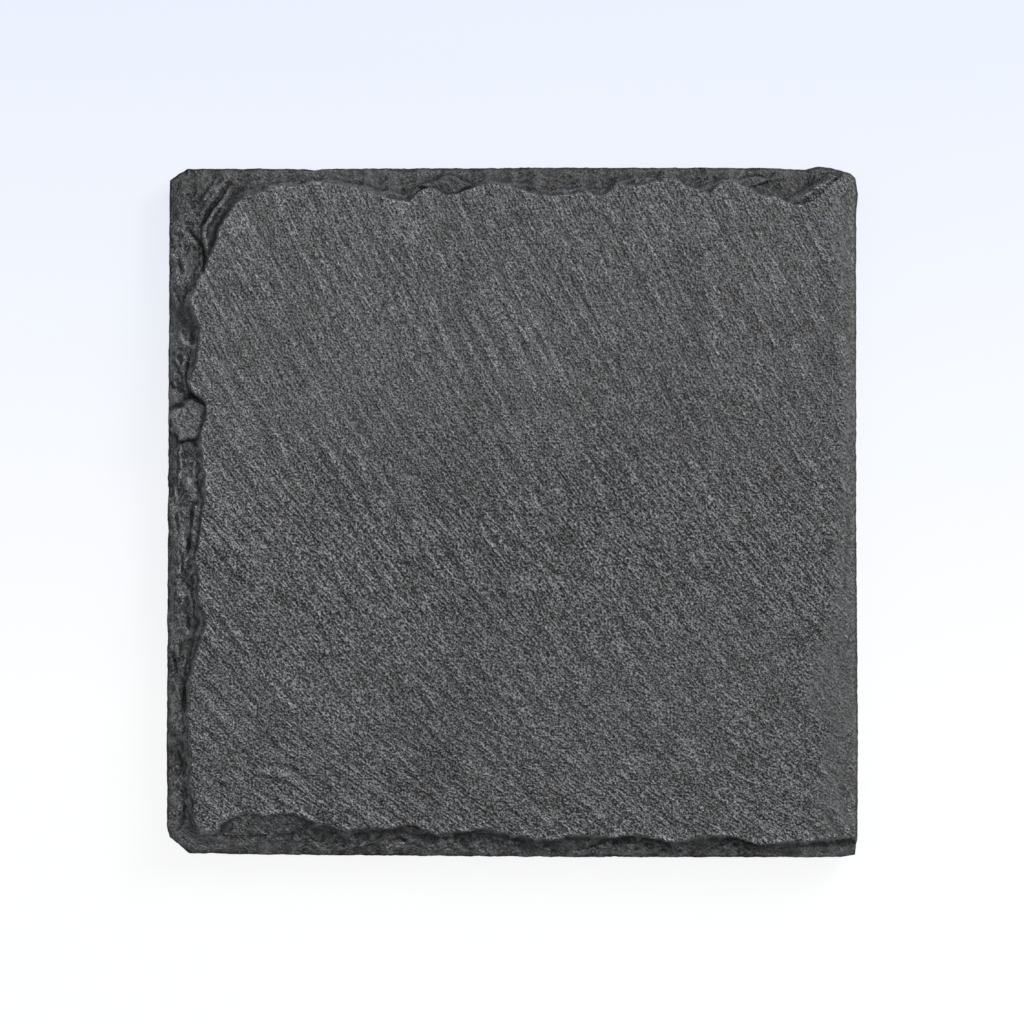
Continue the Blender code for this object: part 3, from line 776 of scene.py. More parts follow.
# %% [markdown]
# ## The split face
# A split face is never flat. It swells gently, and the pull of the rock's grain leaves long low
# ribs that run from the rear left to the front right, curving as they go. They are stretched noise,
# measured across the ribs in small units and along them in large ones.

# %% Swell and ribs of the face
GRAIN_LEAN = 52.0               # mm sideways that a rib moves from the rear to the front
FRONT_BEND = 5.0                # and how much more of that comes close to the front
LEFT_BEND = 16.0                # with this much on top of it at the left
SWELL_HEIGHT = 0.13
BROAD_RIB, MAIN_RIB, THIN_RIB = 0.09, 0.10, 0.045       # mm of height


def across_grain(x, y):
    """Distance across the ribs, in millimetres; a rib keeps one value from rear to front."""
    forward = (HALF_DEPTH - y) / (2 * HALF_DEPTH)
    leftward = (HALF_WIDTH - x) / (2 * HALF_WIDTH)
    return (x - GRAIN_LEAN * forward - (FRONT_BEND + LEFT_BEND * leftward) * forward ** 5) * 0.87


rib_place = across_grain(plan_x, plan_y) + 0.7 * soft_noise(plan_x / 11, plan_y / 11, 50)
swell = SWELL_HEIGHT * soft_noise(plan_x / 31, plan_y / 31, 51)
strong = 0.8 + 0.5 * ease(-0.3, 0.4, soft_noise(plan_x / 16, plan_y / 16, 57))
strong *= (0.82 + 0.18 * ease(0, 45, forward_mm)) * (1 - 0.42 * ease(52, 88, right_mm))
broad_ribs = soft_noise(rib_place / 3.4, plan_y / 26, 56)
main_ribs = soft_noise(rib_place / 1.12, plan_y / 18, 53)
thin_ribs = soft_noise(rib_place / 0.66, plan_y / 10, 54)
ribs = strong * (BROAD_RIB * broad_ribs + MAIN_RIB * main_ribs + THIN_RIB * thin_ribs)
rib_tone = strong * (0.30 * broad_ribs + main_ribs + 0.8 * thin_ribs)
print("ribs, mm:", ribs.min().round(2), "to", ribs.max().round(2))

# %% [markdown]
# Near its front left corner the face is folded: the sheets were bent before they were split, and
# the split follows them. Shallow, wide cuts with a low ridge beside each draw those folds. A few
# short hair cracks lie on the rest of the face.

# %% Folds and hair cracks
for line in ([(4.3, 81.2), (6.0, 81.5), (7.5, 83.0), (7.9, 84.5)],
             [(9.8, 85.0), (11.9, 84.2), (13.9, 83.7)],
             [(12.4, 85.5), (13.9, 86.4), (16.4, 86.4), (18.4, 86.8), (20.2, 88.5), (22.2, 90.3)],
             [(9.6, 86.3), (11.9, 88.0), (14.9, 88.3), (17.7, 89.1), (20.2, 90.6), (23.0, 91.8)],
             [(13.1, 79.2), (14.9, 82.2), (16.4, 84.2), (17.9, 85.3), (20.6, 87.0)],
             [(22.4, 86.4), (24.6, 88.2), (26.0, 90.4)], [(18.6, 80.8), (20.6, 83.6), (23.6, 86.2)]):
    cut(line, 0.42, 0.26)
for line in ([(4.2, 82.6), (5.9, 82.5), (6.9, 83.6), (7.2, 84.8)],
             [(13.6, 85.9), (16.2, 85.7), (18.8, 86.1)],
             [(13.8, 87.3), (16.0, 87.4), (18.4, 88.0), (20.6, 89.6)],
             [(13.9, 79.4), (15.7, 82.2), (17.2, 84.0), (18.6, 85.0)]):
    fin(line, 0.5, 0.12, 0.12)
for line in ([(7.4, 88.6), (9.0, 89.4), (10.2, 90.6)], [(25.0, 91.4), (27.6, 92.6)],
             [(13.3, 20.3), (14.3, 21.6)], [(15.6, 13.7), (16.5, 14.3), (17.4, 13.8)],
             [(8.6, 46.5), (10.5, 46.9)], [(11.9, 50.5), (13.5, 50.3)], [(4.9, 56.7), (6.0, 57.3)],
             [(8.6, 59.0), (9.8, 59.2), (10.8, 60.1)], [(57.5, 38.0), (58.6, 38.5)]):
    cut(line, 0.30, 0.2)
top_height = FACE - carved + swell * (1 - 0.6 * broken) + ribs * (1 - 0.5 * broken)
print("face relief, mm:", (swell + ribs).min().round(2), "to", (swell + ribs).max().round(2))

# %% [markdown]
# ## Rim and underside
# Below the chips stands the rim, where the stack of sheets shows edge on. Each level of the rim is
# one ring of points, moved in or out by noise that changes fast with height and slowly along the
# side, which draws the sheets. The underside is the other split face: a coarser net is enough.

# %% Rim rings
RIM_RINGS = 30
SPALL = 0.45                    # mm that the lower edge has crumbled in
LEDGE = 0.42                    # mm that one sheet's edge may stand behind its neighbour's


def border_indices():
    """The net's border points in order, anticlockwise from the front left corner."""
    front = list(range(NX))
    right = [NX - 1 + j * NX for j in range(1, NY)]
    rear = [(NY - 1) * NX + i for i in range(NX - 2, -1, -1)]
    left = [j * NX for j in range(NY - 2, 0, -1)]
    return np.array(front + right + rear + left)


border = border_indices()
rim_x, rim_y, rim_top = plan_x[border], plan_y[border], top_height[border]
step_along = np.hypot(np.diff(rim_x, append=rim_x[:1]), np.diff(rim_y, append=rim_y[:1]))
walk = np.concatenate([[0.0], np.cumsum(step_along)[:-1]])
rim_points = []
for ring in range(1, RIM_RINGS + 1):
    share = ring / RIM_RINGS
    z = rim_top + (UNDERSIDE - rim_top) * share
    dip = 0.35 * soft_noise(walk / 23, walk * 0, 60) + 0.06 * soft_noise(walk / 1.3, walk * 0, 66)
    sheet = np.searchsorted(sheet_levels, FACE - z + dip + 0.13)
    sheets = (LEDGE * soft_noise(sheet * 5.37, walk / 6.0, 61)
              + 0.5 * LEDGE * soft_noise(sheet * 3.71, walk / 1.5, 62)
              + 0.06 * soft_noise(z / 0.5, walk / 0.5, 63))
    bite = 0.22 * scars(walk / 3.1, z / 1.6, 64)[0] * np.sin(np.pi * min(share * 1.05, 1))
    crumble = SPALL * ease(UNDERSIDE + 0.9, UNDERSIDE, z) * (1 + 0.6 * soft_noise(walk / 1.7, z, 65))
    inward = np.clip(bite - 0.16 + sheets * min(1, 4 * share), 0, 1) + crumble
    draw_in = 1 - inward / np.hypot(rim_x, rim_y)
    rim_points.append(np.stack([rim_x * draw_in, rim_y * draw_in, z], 1))
print("rim:", RIM_RINGS, "rings of", len(border), "points")

# %% [markdown]
# The underside is split stone too, so it gets shallow hollows of its own. Under each pad it stays
# level, or the adhesive would have nothing to hold on to.

# %% Heights of the underside
PAD_CLEAR = 8.0                 # mm round each pad's centre where the underside is level
UNDER_SCALE = 0.9955            # the underside's net is drawn in to fit inside the last ring

pad_centres = {c: sum(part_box(f"foot_pad_{c}"), Vector()) / 2 for c in CORNERS}
last_ring = rim_points[-1]
under_x, under_y = plan_x * UNDER_SCALE, plan_y * UNDER_SCALE
under_x[border], under_y[border] = last_ring[:, 0], last_ring[:, 1]
hollow = (0.16 + 0.22 * soft_noise(plan_x / 17, plan_y / 17, 71)
          + 0.05 * soft_noise(rib_place / 1.6, plan_y / 9, 72)
          + 0.03 * soft_noise(plan_x / 0.9, plan_y / 0.9, 73))
for centre in pad_centres.values():
    apart = np.hypot(plan_x - centre.x / MM, plan_y - centre.y / MM)
    hollow *= ease(PAD_CLEAR - 1.5, PAD_CLEAR + 4, apart)
under_height = UNDERSIDE + np.maximum(hollow, 0) * ease(1.0, 0.975, out_share)
print("hollows of the underside, mm: up to", (under_height.max() - UNDERSIDE).round(2))

# %% [markdown]
# The parts of the net are now joined into one skin: the carved top, the rings of the rim, and the
# underside. Each face is a list of point numbers, walked so that its front looks outward. On the
# underside only every second line of the net is kept, so a cell that meets the rim has an extra
# point on its outer edge.

# %% Faces of the skin
points = [np.stack([plan_x, plan_y, top_height], 1), *rim_points[:-1],
          np.stack([under_x, under_y, under_height], 1)]
points = np.concatenate(points)
faces = []
for j in range(NY - 1):
    for i in range(NX - 1):
        a = j * NX + i
        faces.append((a, a + 1, a + 1 + NX, a + NX))
TOP_FACES = len(faces)

under_start = NX * NY + (RIM_RINGS - 1) * len(border)
ring_ids = [border]
ring_ids += [NX * NY + k * len(border) + np.arange(len(border)) for k in range(RIM_RINGS - 1)]
ring_ids.append(under_start + border)
for upper, lower in zip(ring_ids, ring_ids[1:]):
    after_upper, after_lower = np.roll(upper, -1), np.roll(lower, -1)
    faces += list(zip(upper.tolist(), lower.tolist(), after_lower.tolist(), after_upper.tolist()))
RIM_FACES = len(faces) - TOP_FACES


def under_cell(i, j):
    """One cell of the underside, two net steps wide, with the border's extra points in it."""
    def at(column, row):
        return under_start + row * NX + column

    loop = [at(i, j)]
    if i == 0:
        loop.append(at(i, j + 1))
    loop.append(at(i, j + 2))
    if j + 2 == NY - 1:
        loop.append(at(i + 1, j + 2))
    loop.append(at(i + 2, j + 2))
    if i + 2 == NX - 1:
        loop.append(at(i + 2, j + 1))
    loop.append(at(i + 2, j))
    if j == 0:
        loop.append(at(i + 1, j))
    return loop


faces += [under_cell(i, j) for j in range(0, NY - 1, 2) for i in range(0, NX - 1, 2)]
print("faces: top", TOP_FACES, "rim", RIM_FACES, "underside", len(faces) - TOP_FACES - RIM_FACES)

# %% [markdown]
# The points that no face uses, which are those between the kept lines of the underside, are left
# out. The mesh then becomes an object that rides on the part's one body and takes the slab's place.

# %% The stone
used = np.zeros(len(points), bool)
used[np.concatenate([np.asarray(f) for f in faces])] = True
new_number = np.cumsum(used) - 1
faces = [[int(new_number[v]) for v in f] for f in faces]

stone_mesh = bpy.data.meshes.new("slate_stone")
stone_mesh.from_pydata((points[used] * MM).tolist(), [], faces)
stone_mesh.shade_smooth()
stone = bpy.data.objects.new("slate_stone", stone_mesh)
bpy.context.scene.collection.objects.link(stone)
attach(stone, "root")
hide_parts("slate_slab")
print("stone:", len(stone_mesh.vertices), "points,", len(stone_mesh.polygons), "faces")

# %% [markdown]
# The material has to know where the stone is split and where it is broken, because the two look
# different. Such knowledge is a number per point, kept in the mesh as an attribute: `broken` for
# broken stone, `crest` for how far a point stands above its neighbours, `rib` for the long ribs and
# `rim` for the sheets seen edge on. From `crest` the material paints shade into hollows and a
# highlight onto crests. The paleness and calm marks were drawn along with the marks above; here
# they also get painted light on the left side and painted shade on the rear side.

# %% Marks for the material
FULL_CREST = 0.26               # mm above the neighbourhood
# painted shade along the plan's very border
PAINTED_RIM_SHADE = 1.2                 # how much darker the plan's very border is, in crests


def blurred(values, passes):
    """Values of the net smoothed by repeated averaging with their neighbours."""
    grid = values.reshape(NY, NX)
    for _ in range(passes):
        padded = np.pad(grid, 1, mode="edge")
        grid = (padded[:-2, 1:-1] + padded[2:, 1:-1] + padded[1:-1, :-2] + padded[1:-1, 2:]
                + 4 * grid) / 8
    return grid.ravel()


def keep_mark(name, top_values, rim_value, under_values):
    """Writes one number per point into the mesh, under a name the material can ask for."""
    everywhere = np.full(len(points), float(rim_value))
    everywhere[:NX * NY] = top_values
    everywhere[under_start:] = under_values
    mark = stone_mesh.attributes.new(name, "FLOAT", "POINT")
    mark.data.foreach_set("value", everywhere[used].astype(np.float32))


crest = np.clip((top_height - blurred(top_height, 14)) / FULL_CREST, -1, 1)
keep_mark("broken", broken, 1, ease(0.985, 1.0, out_share))
# painted shade: the plan's very border is made darker, and the rim's points a little darker, through
# the crest mark
crest -= PAINTED_RIM_SHADE * ease(0.9935, 0.9985, out_share)
keep_mark("crest", crest, -0.2, 0)
keep_mark("rim", 0.0 * crest, 1, 0)
keep_mark("rib", rib_tone, 0, rib_tone)
# Painted light and shade by side: broken stone on the left side, which faces away from the key, is made
# paler; on the rear side, which faces the key, it is made darker and calmer. Along the front it is made
# a little calmer.
from_corners = 0.7 * HALF_WIDTH + HALF_DEPTH - np.abs(plan_x) - 1.6 * forward_mm
rear_side_painted_shade = ease(2.0, 7.0, from_corners) * ease(7.5, 5.5, forward_mm)
left_side_painted_light = ease(8.5, 6.5, right_mm) * ease(18, 36, forward_mm)
front_side = ease(94.0, 96.0, forward_mm)
keep_mark("pale_and_painted_light", pale_and_painted_light + broken * (0.30 * left_side_painted_light - 0.16 * rear_side_painted_shade), 0, 0)
keep_mark("calm", np.maximum(calm, (0.6 * rear_side_painted_shade + 0.2 * front_side) * broken), 0, 0)
print("marks:", [mark.name for mark in stone_mesh.attributes if mark.data_type == "FLOAT"])

# %% [markdown]
# A flat picture of the finish needs a map. Blender can lay one out by itself, but it would cut this
# rough skin into thousands of scraps. A plan view of the face, four strips for the rim and a
# smaller plan view for the underside keep it in six whole pieces.

# %% The stone's map
FACE_SHARE, UNDER_SHARE, STRIP_GAP = 0.70, 0.28, 0.055      # of the map's width

corner_ids = np.empty(len(stone_mesh.loops), np.int32)
stone_mesh.loops.foreach_get("vertex_index", corner_ids)
first_corner = np.empty(len(stone_mesh.polygons), np.int32)
stone_mesh.polygons.foreach_get("loop_start", first_corner)
corner_x, corner_y, corner_z = points[used][corner_ids].T
across, along = 0.5 + corner_x / (2.02 * HALF_WIDTH), 0.5 + corner_y / (2.02 * HALF_DEPTH)
map_u, map_v = across * FACE_SHARE + 0.005, along * FACE_SHARE + 0.005
rim_from, rim_to = first_corner[TOP_FACES], first_corner[TOP_FACES + RIM_FACES]
map_u[rim_to:] = 0.715 + across[rim_to:] * UNDER_SHARE
map_v[rim_to:] = 0.005 + along[rim_to:] * UNDER_SHARE
rim_side = np.searchsorted(np.cumsum([NX - 1, NY - 1, NX - 1, NY - 1]),
                           (np.arange(rim_from, rim_to) - rim_from) // 4 % len(border), side="right")
strip = slice(rim_from, rim_to)
map_u[strip] = 0.005 + FACE_SHARE * np.where(rim_side % 2 == 0, across[strip], along[strip])
map_v[strip] = (0.72 + STRIP_GAP * rim_side
                + FACE_SHARE * (corner_z[strip] - UNDERSIDE) / (2.02 * HALF_WIDTH))
stone_map = stone_mesh.uv_layers.new(name="OFBake")
stone_map.uv.foreach_set("vector", np.stack([map_u, map_v], 1).astype(np.float32).ravel())
print("map reaches to", map_u.max().round(3), map_v.max().round(3))

# %% [markdown]
# ## The slate's finish
# Slate is nearly one colour. What the eye sees as grain is a mat of tiny fibres, lighter and
# darker, all leaning one way. Such a finish takes more than a hundred nodes, far too many to place
# one by one, so a few helpers make a node, set its constants and link its inputs in one call.

# %% Node helpers
def socket(tree, name, kind, value=None, out=False):
    """An input of a node group, or an output."""
    made = tree.interface.new_socket(name, in_out="OUTPUT" if out else "INPUT", socket_type=kind)
    if value is not None:
        made.default_value = value
    return made


def math_node(tree, operation, one, two=None, three=None):
    """A Math node; each value is a number or another node's output."""
    node = tree.nodes.new("ShaderNodeMath")
    node.operation = operation
    for place, value in zip(node.inputs, (one, two, three)):
        if isinstance(value, (int, float)):
            place.default_value = value
        elif value is not None:
            tree.links.new(value, place)
    return node.outputs[0]


def noise_node(tree, vector, scale, detail=2.0, roughness=0.5):
    """A Noise Texture; scale is the number of lumps per unit of the coordinates."""
    node = tree.nodes.new("ShaderNodeTexNoise")
    node.inputs["Scale"].default_value = scale
    node.inputs["Detail"].default_value = detail
    node.inputs["Roughness"].default_value = roughness
    tree.links.new(vector, node.inputs["Vector"])
    return node.outputs["Fac"]


def range_node(tree, value, from_low, from_high, to_low=0.0, to_high=1.0):
    """A Map Range node with soft ends; from_low may be the greater one, which turns it round."""
    node = tree.nodes.new("ShaderNodeMapRange")
    node.interpolation_type = "SMOOTHSTEP"
    tree.links.new(value, node.inputs["Value"])
    for name, number in (("From Min", from_low), ("From Max", from_high),
                         ("To Min", to_low), ("To Max", to_high)):
        node.inputs[name].default_value = number
    return node.outputs["Result"]


def scaled_place(tree):
    """The piece's own coordinates, in millimetres."""
    start = tree.nodes.new("ShaderNodeTexCoord")
    scale = tree.nodes.new("ShaderNodeVectorMath")
    scale.operation = "SCALE"
    scale.inputs["Scale"].default_value = 1 / MM
    tree.links.new(start.outputs["Object"], scale.inputs[0])
    return scale.outputs["Vector"]


print("helpers:", [made.__name__ for made in (socket, math_node, noise_node, range_node, scaled_place)])

# %% [markdown]
# A fibre is noise that is stretched along one direction: the coordinates are turned to that way and
# divided by the fibre's length and width. It is a node group, because the finish needs it nine
# times, for short fibres, long threads and bright threads, each in three directions.

# %% Fibre group
fibres = bpy.data.node_groups.new("slate_fibres", "ShaderNodeTree")
socket(fibres, "Vector", "NodeSocketVector")
socket(fibres, "Way", "NodeSocketFloat", 2.2)
socket(fibres, "Length", "NodeSocketFloat", 0.8)
socket(fibres, "Width", "NodeSocketFloat", 0.3)
socket(fibres, "Height", "NodeSocketFloat", out=True)
group_in = fibres.nodes.new("NodeGroupInput")
group_out = fibres.nodes.new("NodeGroupOutput")
rotate = fibres.nodes.new("ShaderNodeVectorRotate")
rotate.rotation_type = "Z_AXIS"
fibres.links.new(group_in.outputs["Vector"], rotate.inputs["Vector"])
fibres.links.new(math_node(fibres, "MULTIPLY", group_in.outputs["Way"], -1.0), rotate.inputs["Angle"])
stretch = fibres.nodes.new("ShaderNodeVectorMath")
stretch.operation = "DIVIDE"
sizes = fibres.nodes.new("ShaderNodeCombineXYZ")
fibres.links.new(group_in.outputs["Length"], sizes.inputs["X"])
fibres.links.new(group_in.outputs["Width"], sizes.inputs["Y"])
fibres.links.new(group_in.outputs["Width"], sizes.inputs["Z"])
fibres.links.new(rotate.outputs["Vector"], stretch.inputs[0])
fibres.links.new(sizes.outputs["Vector"], stretch.inputs[1])
fibres.links.new(noise_node(fibres, stretch.outputs["Vector"], 1.0, 0.8, 0.5),
                 group_out.inputs["Height"])
print("fibre group:", len(fibres.nodes), "nodes")

# %% [markdown]
# The material starts from the stone's own coordinates, in millimetres, so that the size of every
# grain can be written down as it would be measured. The marks kept in the mesh come in through
# Attribute nodes. `mix_values`, `add` and `times` are short words for what comes most often.

# %% Slate: coordinates, marks and short words
slate = bpy.data.materials.new("charcoal_slate")
slate_shader = plain_shader(slate)
tree = slate.node_tree
millimetres = scaled_place(tree)


def mark_node(name):
    node = tree.nodes.new("ShaderNodeAttribute")
    node.attribute_name = name
    return node.outputs["Fac"]


is_broken, is_crest, is_pale_and_painted_light, is_calm, rib, is_rim = (
    mark_node(name) for name in ("broken", "crest", "pale_and_painted_light", "calm", "rib", "rim"))


def mix_values(share, one, two):
    """The first value where share is 0, and the second where it is 1."""
    node = tree.nodes.new("ShaderNodeMix")
    for name, value in (("Factor", share), ("A", one), ("B", two)):
        if isinstance(value, (int, float)):
            node.inputs[name].default_value = value
        else:
            tree.links.new(value, node.inputs[name])
    return node.outputs["Result"]


def add(*values):
    total = values[0]
    for value in values[1:]:
        total = math_node(tree, "ADD", total, value)
    return total


def times(one, two):
    return math_node(tree, "MULTIPLY", one, two)


def centred(value):
    """Noise runs from 0 to 1 about a half; this takes the half away."""
    return math_node(tree, "SUBTRACT", value, 0.5)


separate = tree.nodes.new("ShaderNodeSeparateXYZ")
tree.links.new(millimetres, separate.inputs["Vector"])
toward_right = range_node(tree, separate.outputs["X"], -45.0, 10.0)
toward_front = range_node(tree, separate.outputs["Y"], 34.0, -6.0)
near_front = range_node(tree, separate.outputs["Y"], -5.0, -48.0)
print("slate so far:", len(tree.nodes), "nodes")

# %% [markdown]
# The grain is a weighted sum of three patterns: short fibres, specks and long threads. On this slab
# the fibres lean one way at the rear and turn further over toward the front, and the left of the
# face is a little more speckled than the right.

# %% Slate: grain
REAR_WAY, MIDDLE_WAY, FRONT_WAY = 119, 131, 146         # degrees from the axis to the right


def fibre_layer(way_degrees, length, width):
    node = tree.nodes.new("ShaderNodeGroup")
    node.node_tree = fibres
    node.inputs["Way"].default_value = math.radians(way_degrees)
    node.inputs["Length"].default_value = length
    node.inputs["Width"].default_value = width
    tree.links.new(millimetres, node.inputs["Vector"])
    return node.outputs["Height"]


def turning_fibres(length, width):
    """Fibres of one size whose way turns from the rear to the front."""
    ways = (REAR_WAY, MIDDLE_WAY, FRONT_WAY)
    rear, middle, front = (fibre_layer(way, length, width) for way in ways)
    return mix_values(near_front, mix_values(toward_front, rear, middle), front)


short = turning_fibres(0.47, 0.275)
threads = turning_fibres(3.6, 0.31)
speck = noise_node(tree, millimetres, 3.8, 0.55)
speckled = add(times(short, 0.33), times(speck, 0.41), times(threads, 0.25))
fibrous = add(times(short, 0.37), times(speck, 0.40), times(threads, 0.22))
grain = mix_values(toward_right, speckled, fibrous)
print("slate with its grain:", len(tree.nodes), "nodes")

# %% [markdown]
# Light and dark are added up as a tone: 0 for plain slate, with each influence above or below it.
# The exponential of the tone is then the share of light that comes back, so that one step down
# darkens as much as one step up brightens, and nothing can turn negative. The grain's own contrast
# is greatest at the front of the face and least on clean fracture.

# %% Slate: light and dark
REAR_GAIN, FRONT_GAIN, EDGE_GAIN, CALM_GAIN, RIM_GAIN = 7.6, 12.4, 6.6, 3.5, 6.0
BRIGHT_THREAD, PAINTED_PIT_SHADE = 0.75, -0.85
SOFTENING = -0.20               # holds the extremes of the grain back
LEVEL = 0.17                    # makes up for what the influences take away on average
PLAIN_SLATE = 0.0895            # share of light that comes back at tone 0


def stretched_noise(scales, detail):
    """Noise with its own scale, per millimetre, along each axis."""
    node = tree.nodes.new("ShaderNodeVectorMath")
    node.operation = "MULTIPLY"
    node.inputs[1].default_value = scales
    tree.links.new(millimetres, node.inputs[0])
    return noise_node(tree, node.outputs["Vector"], 1.0, detail)


gain = mix_values(toward_front, REAR_GAIN, FRONT_GAIN)
gain = mix_values(is_broken, gain, EDGE_GAIN)
gain = mix_values(is_calm, gain, CALM_GAIN)
gain = mix_values(is_rim, gain, RIM_GAIN)
bright_threads = times(range_node(tree, turning_fibres(3.0, 0.31), 0.55, 0.69),
                       range_node(tree, speck, 0.40, 0.62))
# painted shade: dark specks stand in for the shade inside pits that the mesh doesn't have
painted_pit_shade = range_node(tree, noise_node(tree, millimetres, 3.2, 0.5), 0.385, 0.285)
tone = add(times(centred(grain), gain), times(bright_threads, BRIGHT_THREAD), times(painted_pit_shade, PAINTED_PIT_SHADE))
tone = add(tone, times(times(tone, tone), SOFTENING))
laminae = stretched_noise((0.16, 0.16, 3.4), 3.0)
patches = noise_node(tree, millimetres, 0.06, 2.0)
# the pale mark: bruised ridges with a painted highlight, and painted light and shade on the left and
# rear sides
influences = ((is_pale_and_painted_light, 0.75),                          # bruised ridges
              # the calm mark also carries painted shade on the rear side
              (times(is_calm, is_broken), -0.46),       # clean fracture
              (is_calm, -0.10),
              (is_broken, -0.08),
              (rib, 0.19),
              (centred(patches), 0.4),
              (times(centred(laminae), is_rim), 3.0),   # sheets seen edge on
              (toward_right, -0.13),
              (toward_front, -0.16))
# painted shade in hollows and a painted highlight on crests, read from the crest mark
painted_hollow_shade_ridge_light = range_node(tree, is_crest, -1.0, 0.45, -0.75, 0.25)
tone = add(tone, painted_hollow_shade_ridge_light, LEVEL, *(times(mask, amount) for mask, amount in influences))
albedo = times(math_node(tree, "EXPONENT", tone), PLAIN_SLATE)
print("slate with light and dark:", len(tree.nodes), "nodes")

# %% [markdown]
# The colour is a grey whose three channels differ by a trace. Rare grains of rust, no wider than a
# fibre, pull it to orange, and the paler grains are a little bluer than the dark ones. The channels
# are worked out in one loop, so that each influence is written down once, as three numbers.

# %% Slate: colour
rust = times(range_node(tree, noise_node(tree, millimetres, 2.3, 0.0), 0.76, 0.81),
             range_node(tree, noise_node(tree, millimetres, 0.35, 1.0), 0.50, 0.60))
blueness = add(times(centred(grain), 0.40),
               times(noise_node(tree, millimetres, 1.9, 1.0), 0.26), -0.13)
colour = tree.nodes.new("ShaderNodeCombineColor")
for channel, rusty, blue, base in (("Red", 0.65, -0.4, 1.0), ("Green", 0.38, 0.0, 1.0),
                                   ("Blue", -0.1, 0.6, 1.01)):
    share = add(times(rust, rusty), times(blueness, blue), base)
    tree.links.new(times(albedo, share), colour.inputs[channel])
tree.links.new(colour.outputs["Color"], slate_shader.inputs["Base Color"])
print("slate with its colour:", len(tree.nodes), "nodes")

# %% [markdown]
# The fibres stand up from the face as well as differ in tone. They are far finer than the mesh, so
# a Bump node tilts the shading by the same grain. Clean fracture is smooth and gets a third of that
# relief. On the rim half of it stays, and the sheets seen edge on are added to it.

# %% Slate: relief and gloss
FULL_RELIEF, EDGE_RELIEF, CALM_RELIEF = 1.0, 1.1, 0.35

bump = tree.nodes.new("ShaderNodeBump")
bump.inputs["Distance"].default_value = 0.75 * MM
bump.inputs["Strength"].default_value = 1.0
relief_share = mix_values(is_calm, mix_values(is_broken, FULL_RELIEF, EDGE_RELIEF), CALM_RELIEF)
fine_relief = times(grain, relief_share)
tree.links.new(mix_values(is_rim, fine_relief, add(times(fine_relief, 0.5), times(laminae, 0.55))),
               bump.inputs["Height"])
tree.links.new(bump.outputs["Normal"], slate_shader.inputs["Normal"])
slate_shader.inputs["Roughness"].default_value = 0.62
slate_shader.inputs["Specular IOR Level"].default_value = 0.35
stone_mesh.materials.append(slate)
print("slate in full:", len(tree.nodes), "nodes")

# %% [markdown]
# ## Foot pads and adhesive
# Under each corner a disc of closed-cell foam keeps the slab from sliding and from marking the
# bench. Such discs are punched out of a sheet, so their edge is straight, with cut-open cells in
# it, and the weight of the stone makes it belly out a little. A disc is turned from a profile, as
# on a lathe, and its points are then moved by noise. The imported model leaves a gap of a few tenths
# of a millimetre between pad, film and stone. Here each one reaches up to the next.

# %% Turned discs
DISC_SEGMENTS = 96


def turned(name, profile, centre, roughness, seed, standing_for):
    """A disc turned about its own upright axis from (radius, height) points, in millimetres.

    roughness is how far, in millimetres, the surface is moved in and out by noise."""
    radii, heights = np.array(profile).T
    turns = np.linspace(0, 2 * np.pi, DISC_SEGMENTS, endpoint=False)
    ring = np.arange(DISC_SEGMENTS)
    reach = (0.6 * soft_noise(turns[:, None] * 5.7 + 0 * radii, heights / 0.35 + radii / 0.9, seed)
             + 0.5 * soft_noise(turns[:, None] * 2.1 + 0 * radii, heights / 0.9, seed + 1))
    reach *= np.minimum(1, radii / radii.max() * 1.5)
    spread = radii + roughness * reach
    spots = np.stack([centre.x / MM + spread * np.cos(turns)[:, None],
                      centre.y / MM + spread * np.sin(turns)[:, None],
                      np.broadcast_to(heights, spread.shape)], 2).transpose(1, 0, 2).reshape(-1, 3)
    faces = [tuple(ring[::-1]), tuple(ring + (len(radii) - 1) * DISC_SEGMENTS)]
    for k in range(len(radii) - 1):
        low, high = ring + k * DISC_SEGMENTS, ring + (k + 1) * DISC_SEGMENTS
        faces += zip(low.tolist(), np.roll(low, -1).tolist(), np.roll(high, -1).tolist(), high.tolist())
    mesh = bpy.data.meshes.new(name)
    mesh.from_pydata((spots * MM).tolist(), [], [tuple(int(v) for v in f) for f in faces])
    mesh.shade_smooth()
    mesh.set_sharp_from_angle(angle=math.radians(50))
    disc = bpy.data.objects.new(name, mesh)
    bpy.context.scene.collection.objects.link(disc)
    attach(disc, "root")
    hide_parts(standing_for)
    return disc


def disc_profile(radius, low, high, rounding, belly, steps=7):
    """From the middle of the underside, out and round the edge, to the middle of the top."""
    quarter = np.linspace(0, np.pi / 2, 4)
    inner = radius - rounding
    under = [(inner * share, low) for share in (0.12, 0.5, 0.8)]
    lower = [(inner + rounding * math.sin(a), low + rounding * (1 - math.cos(a))) for a in quarter]
    wall = [(radius + belly * math.sin(math.pi * t), low + rounding + t * (high - low - 2 * rounding))
            for t in np.linspace(0, 1, steps)[1:-1]]
    upper = [(r, high + low - z) for r, z in reversed(lower)]
    return under + lower + wall + upper + [(inner * share, high) for share in (0.8, 0.5, 0.12)]


print("points in a profile:", len(disc_profile(6.0, 0.0, 1.5, 0.2, 0.1)))

# %% [markdown]
# Both discs at a corner share the pad's centre. Foam bellies out under the weight, and the film,
# squeezed between foam and stone, draws in a little at its waist. Each disc has its own seed, so no
# two have the same ragged edge.

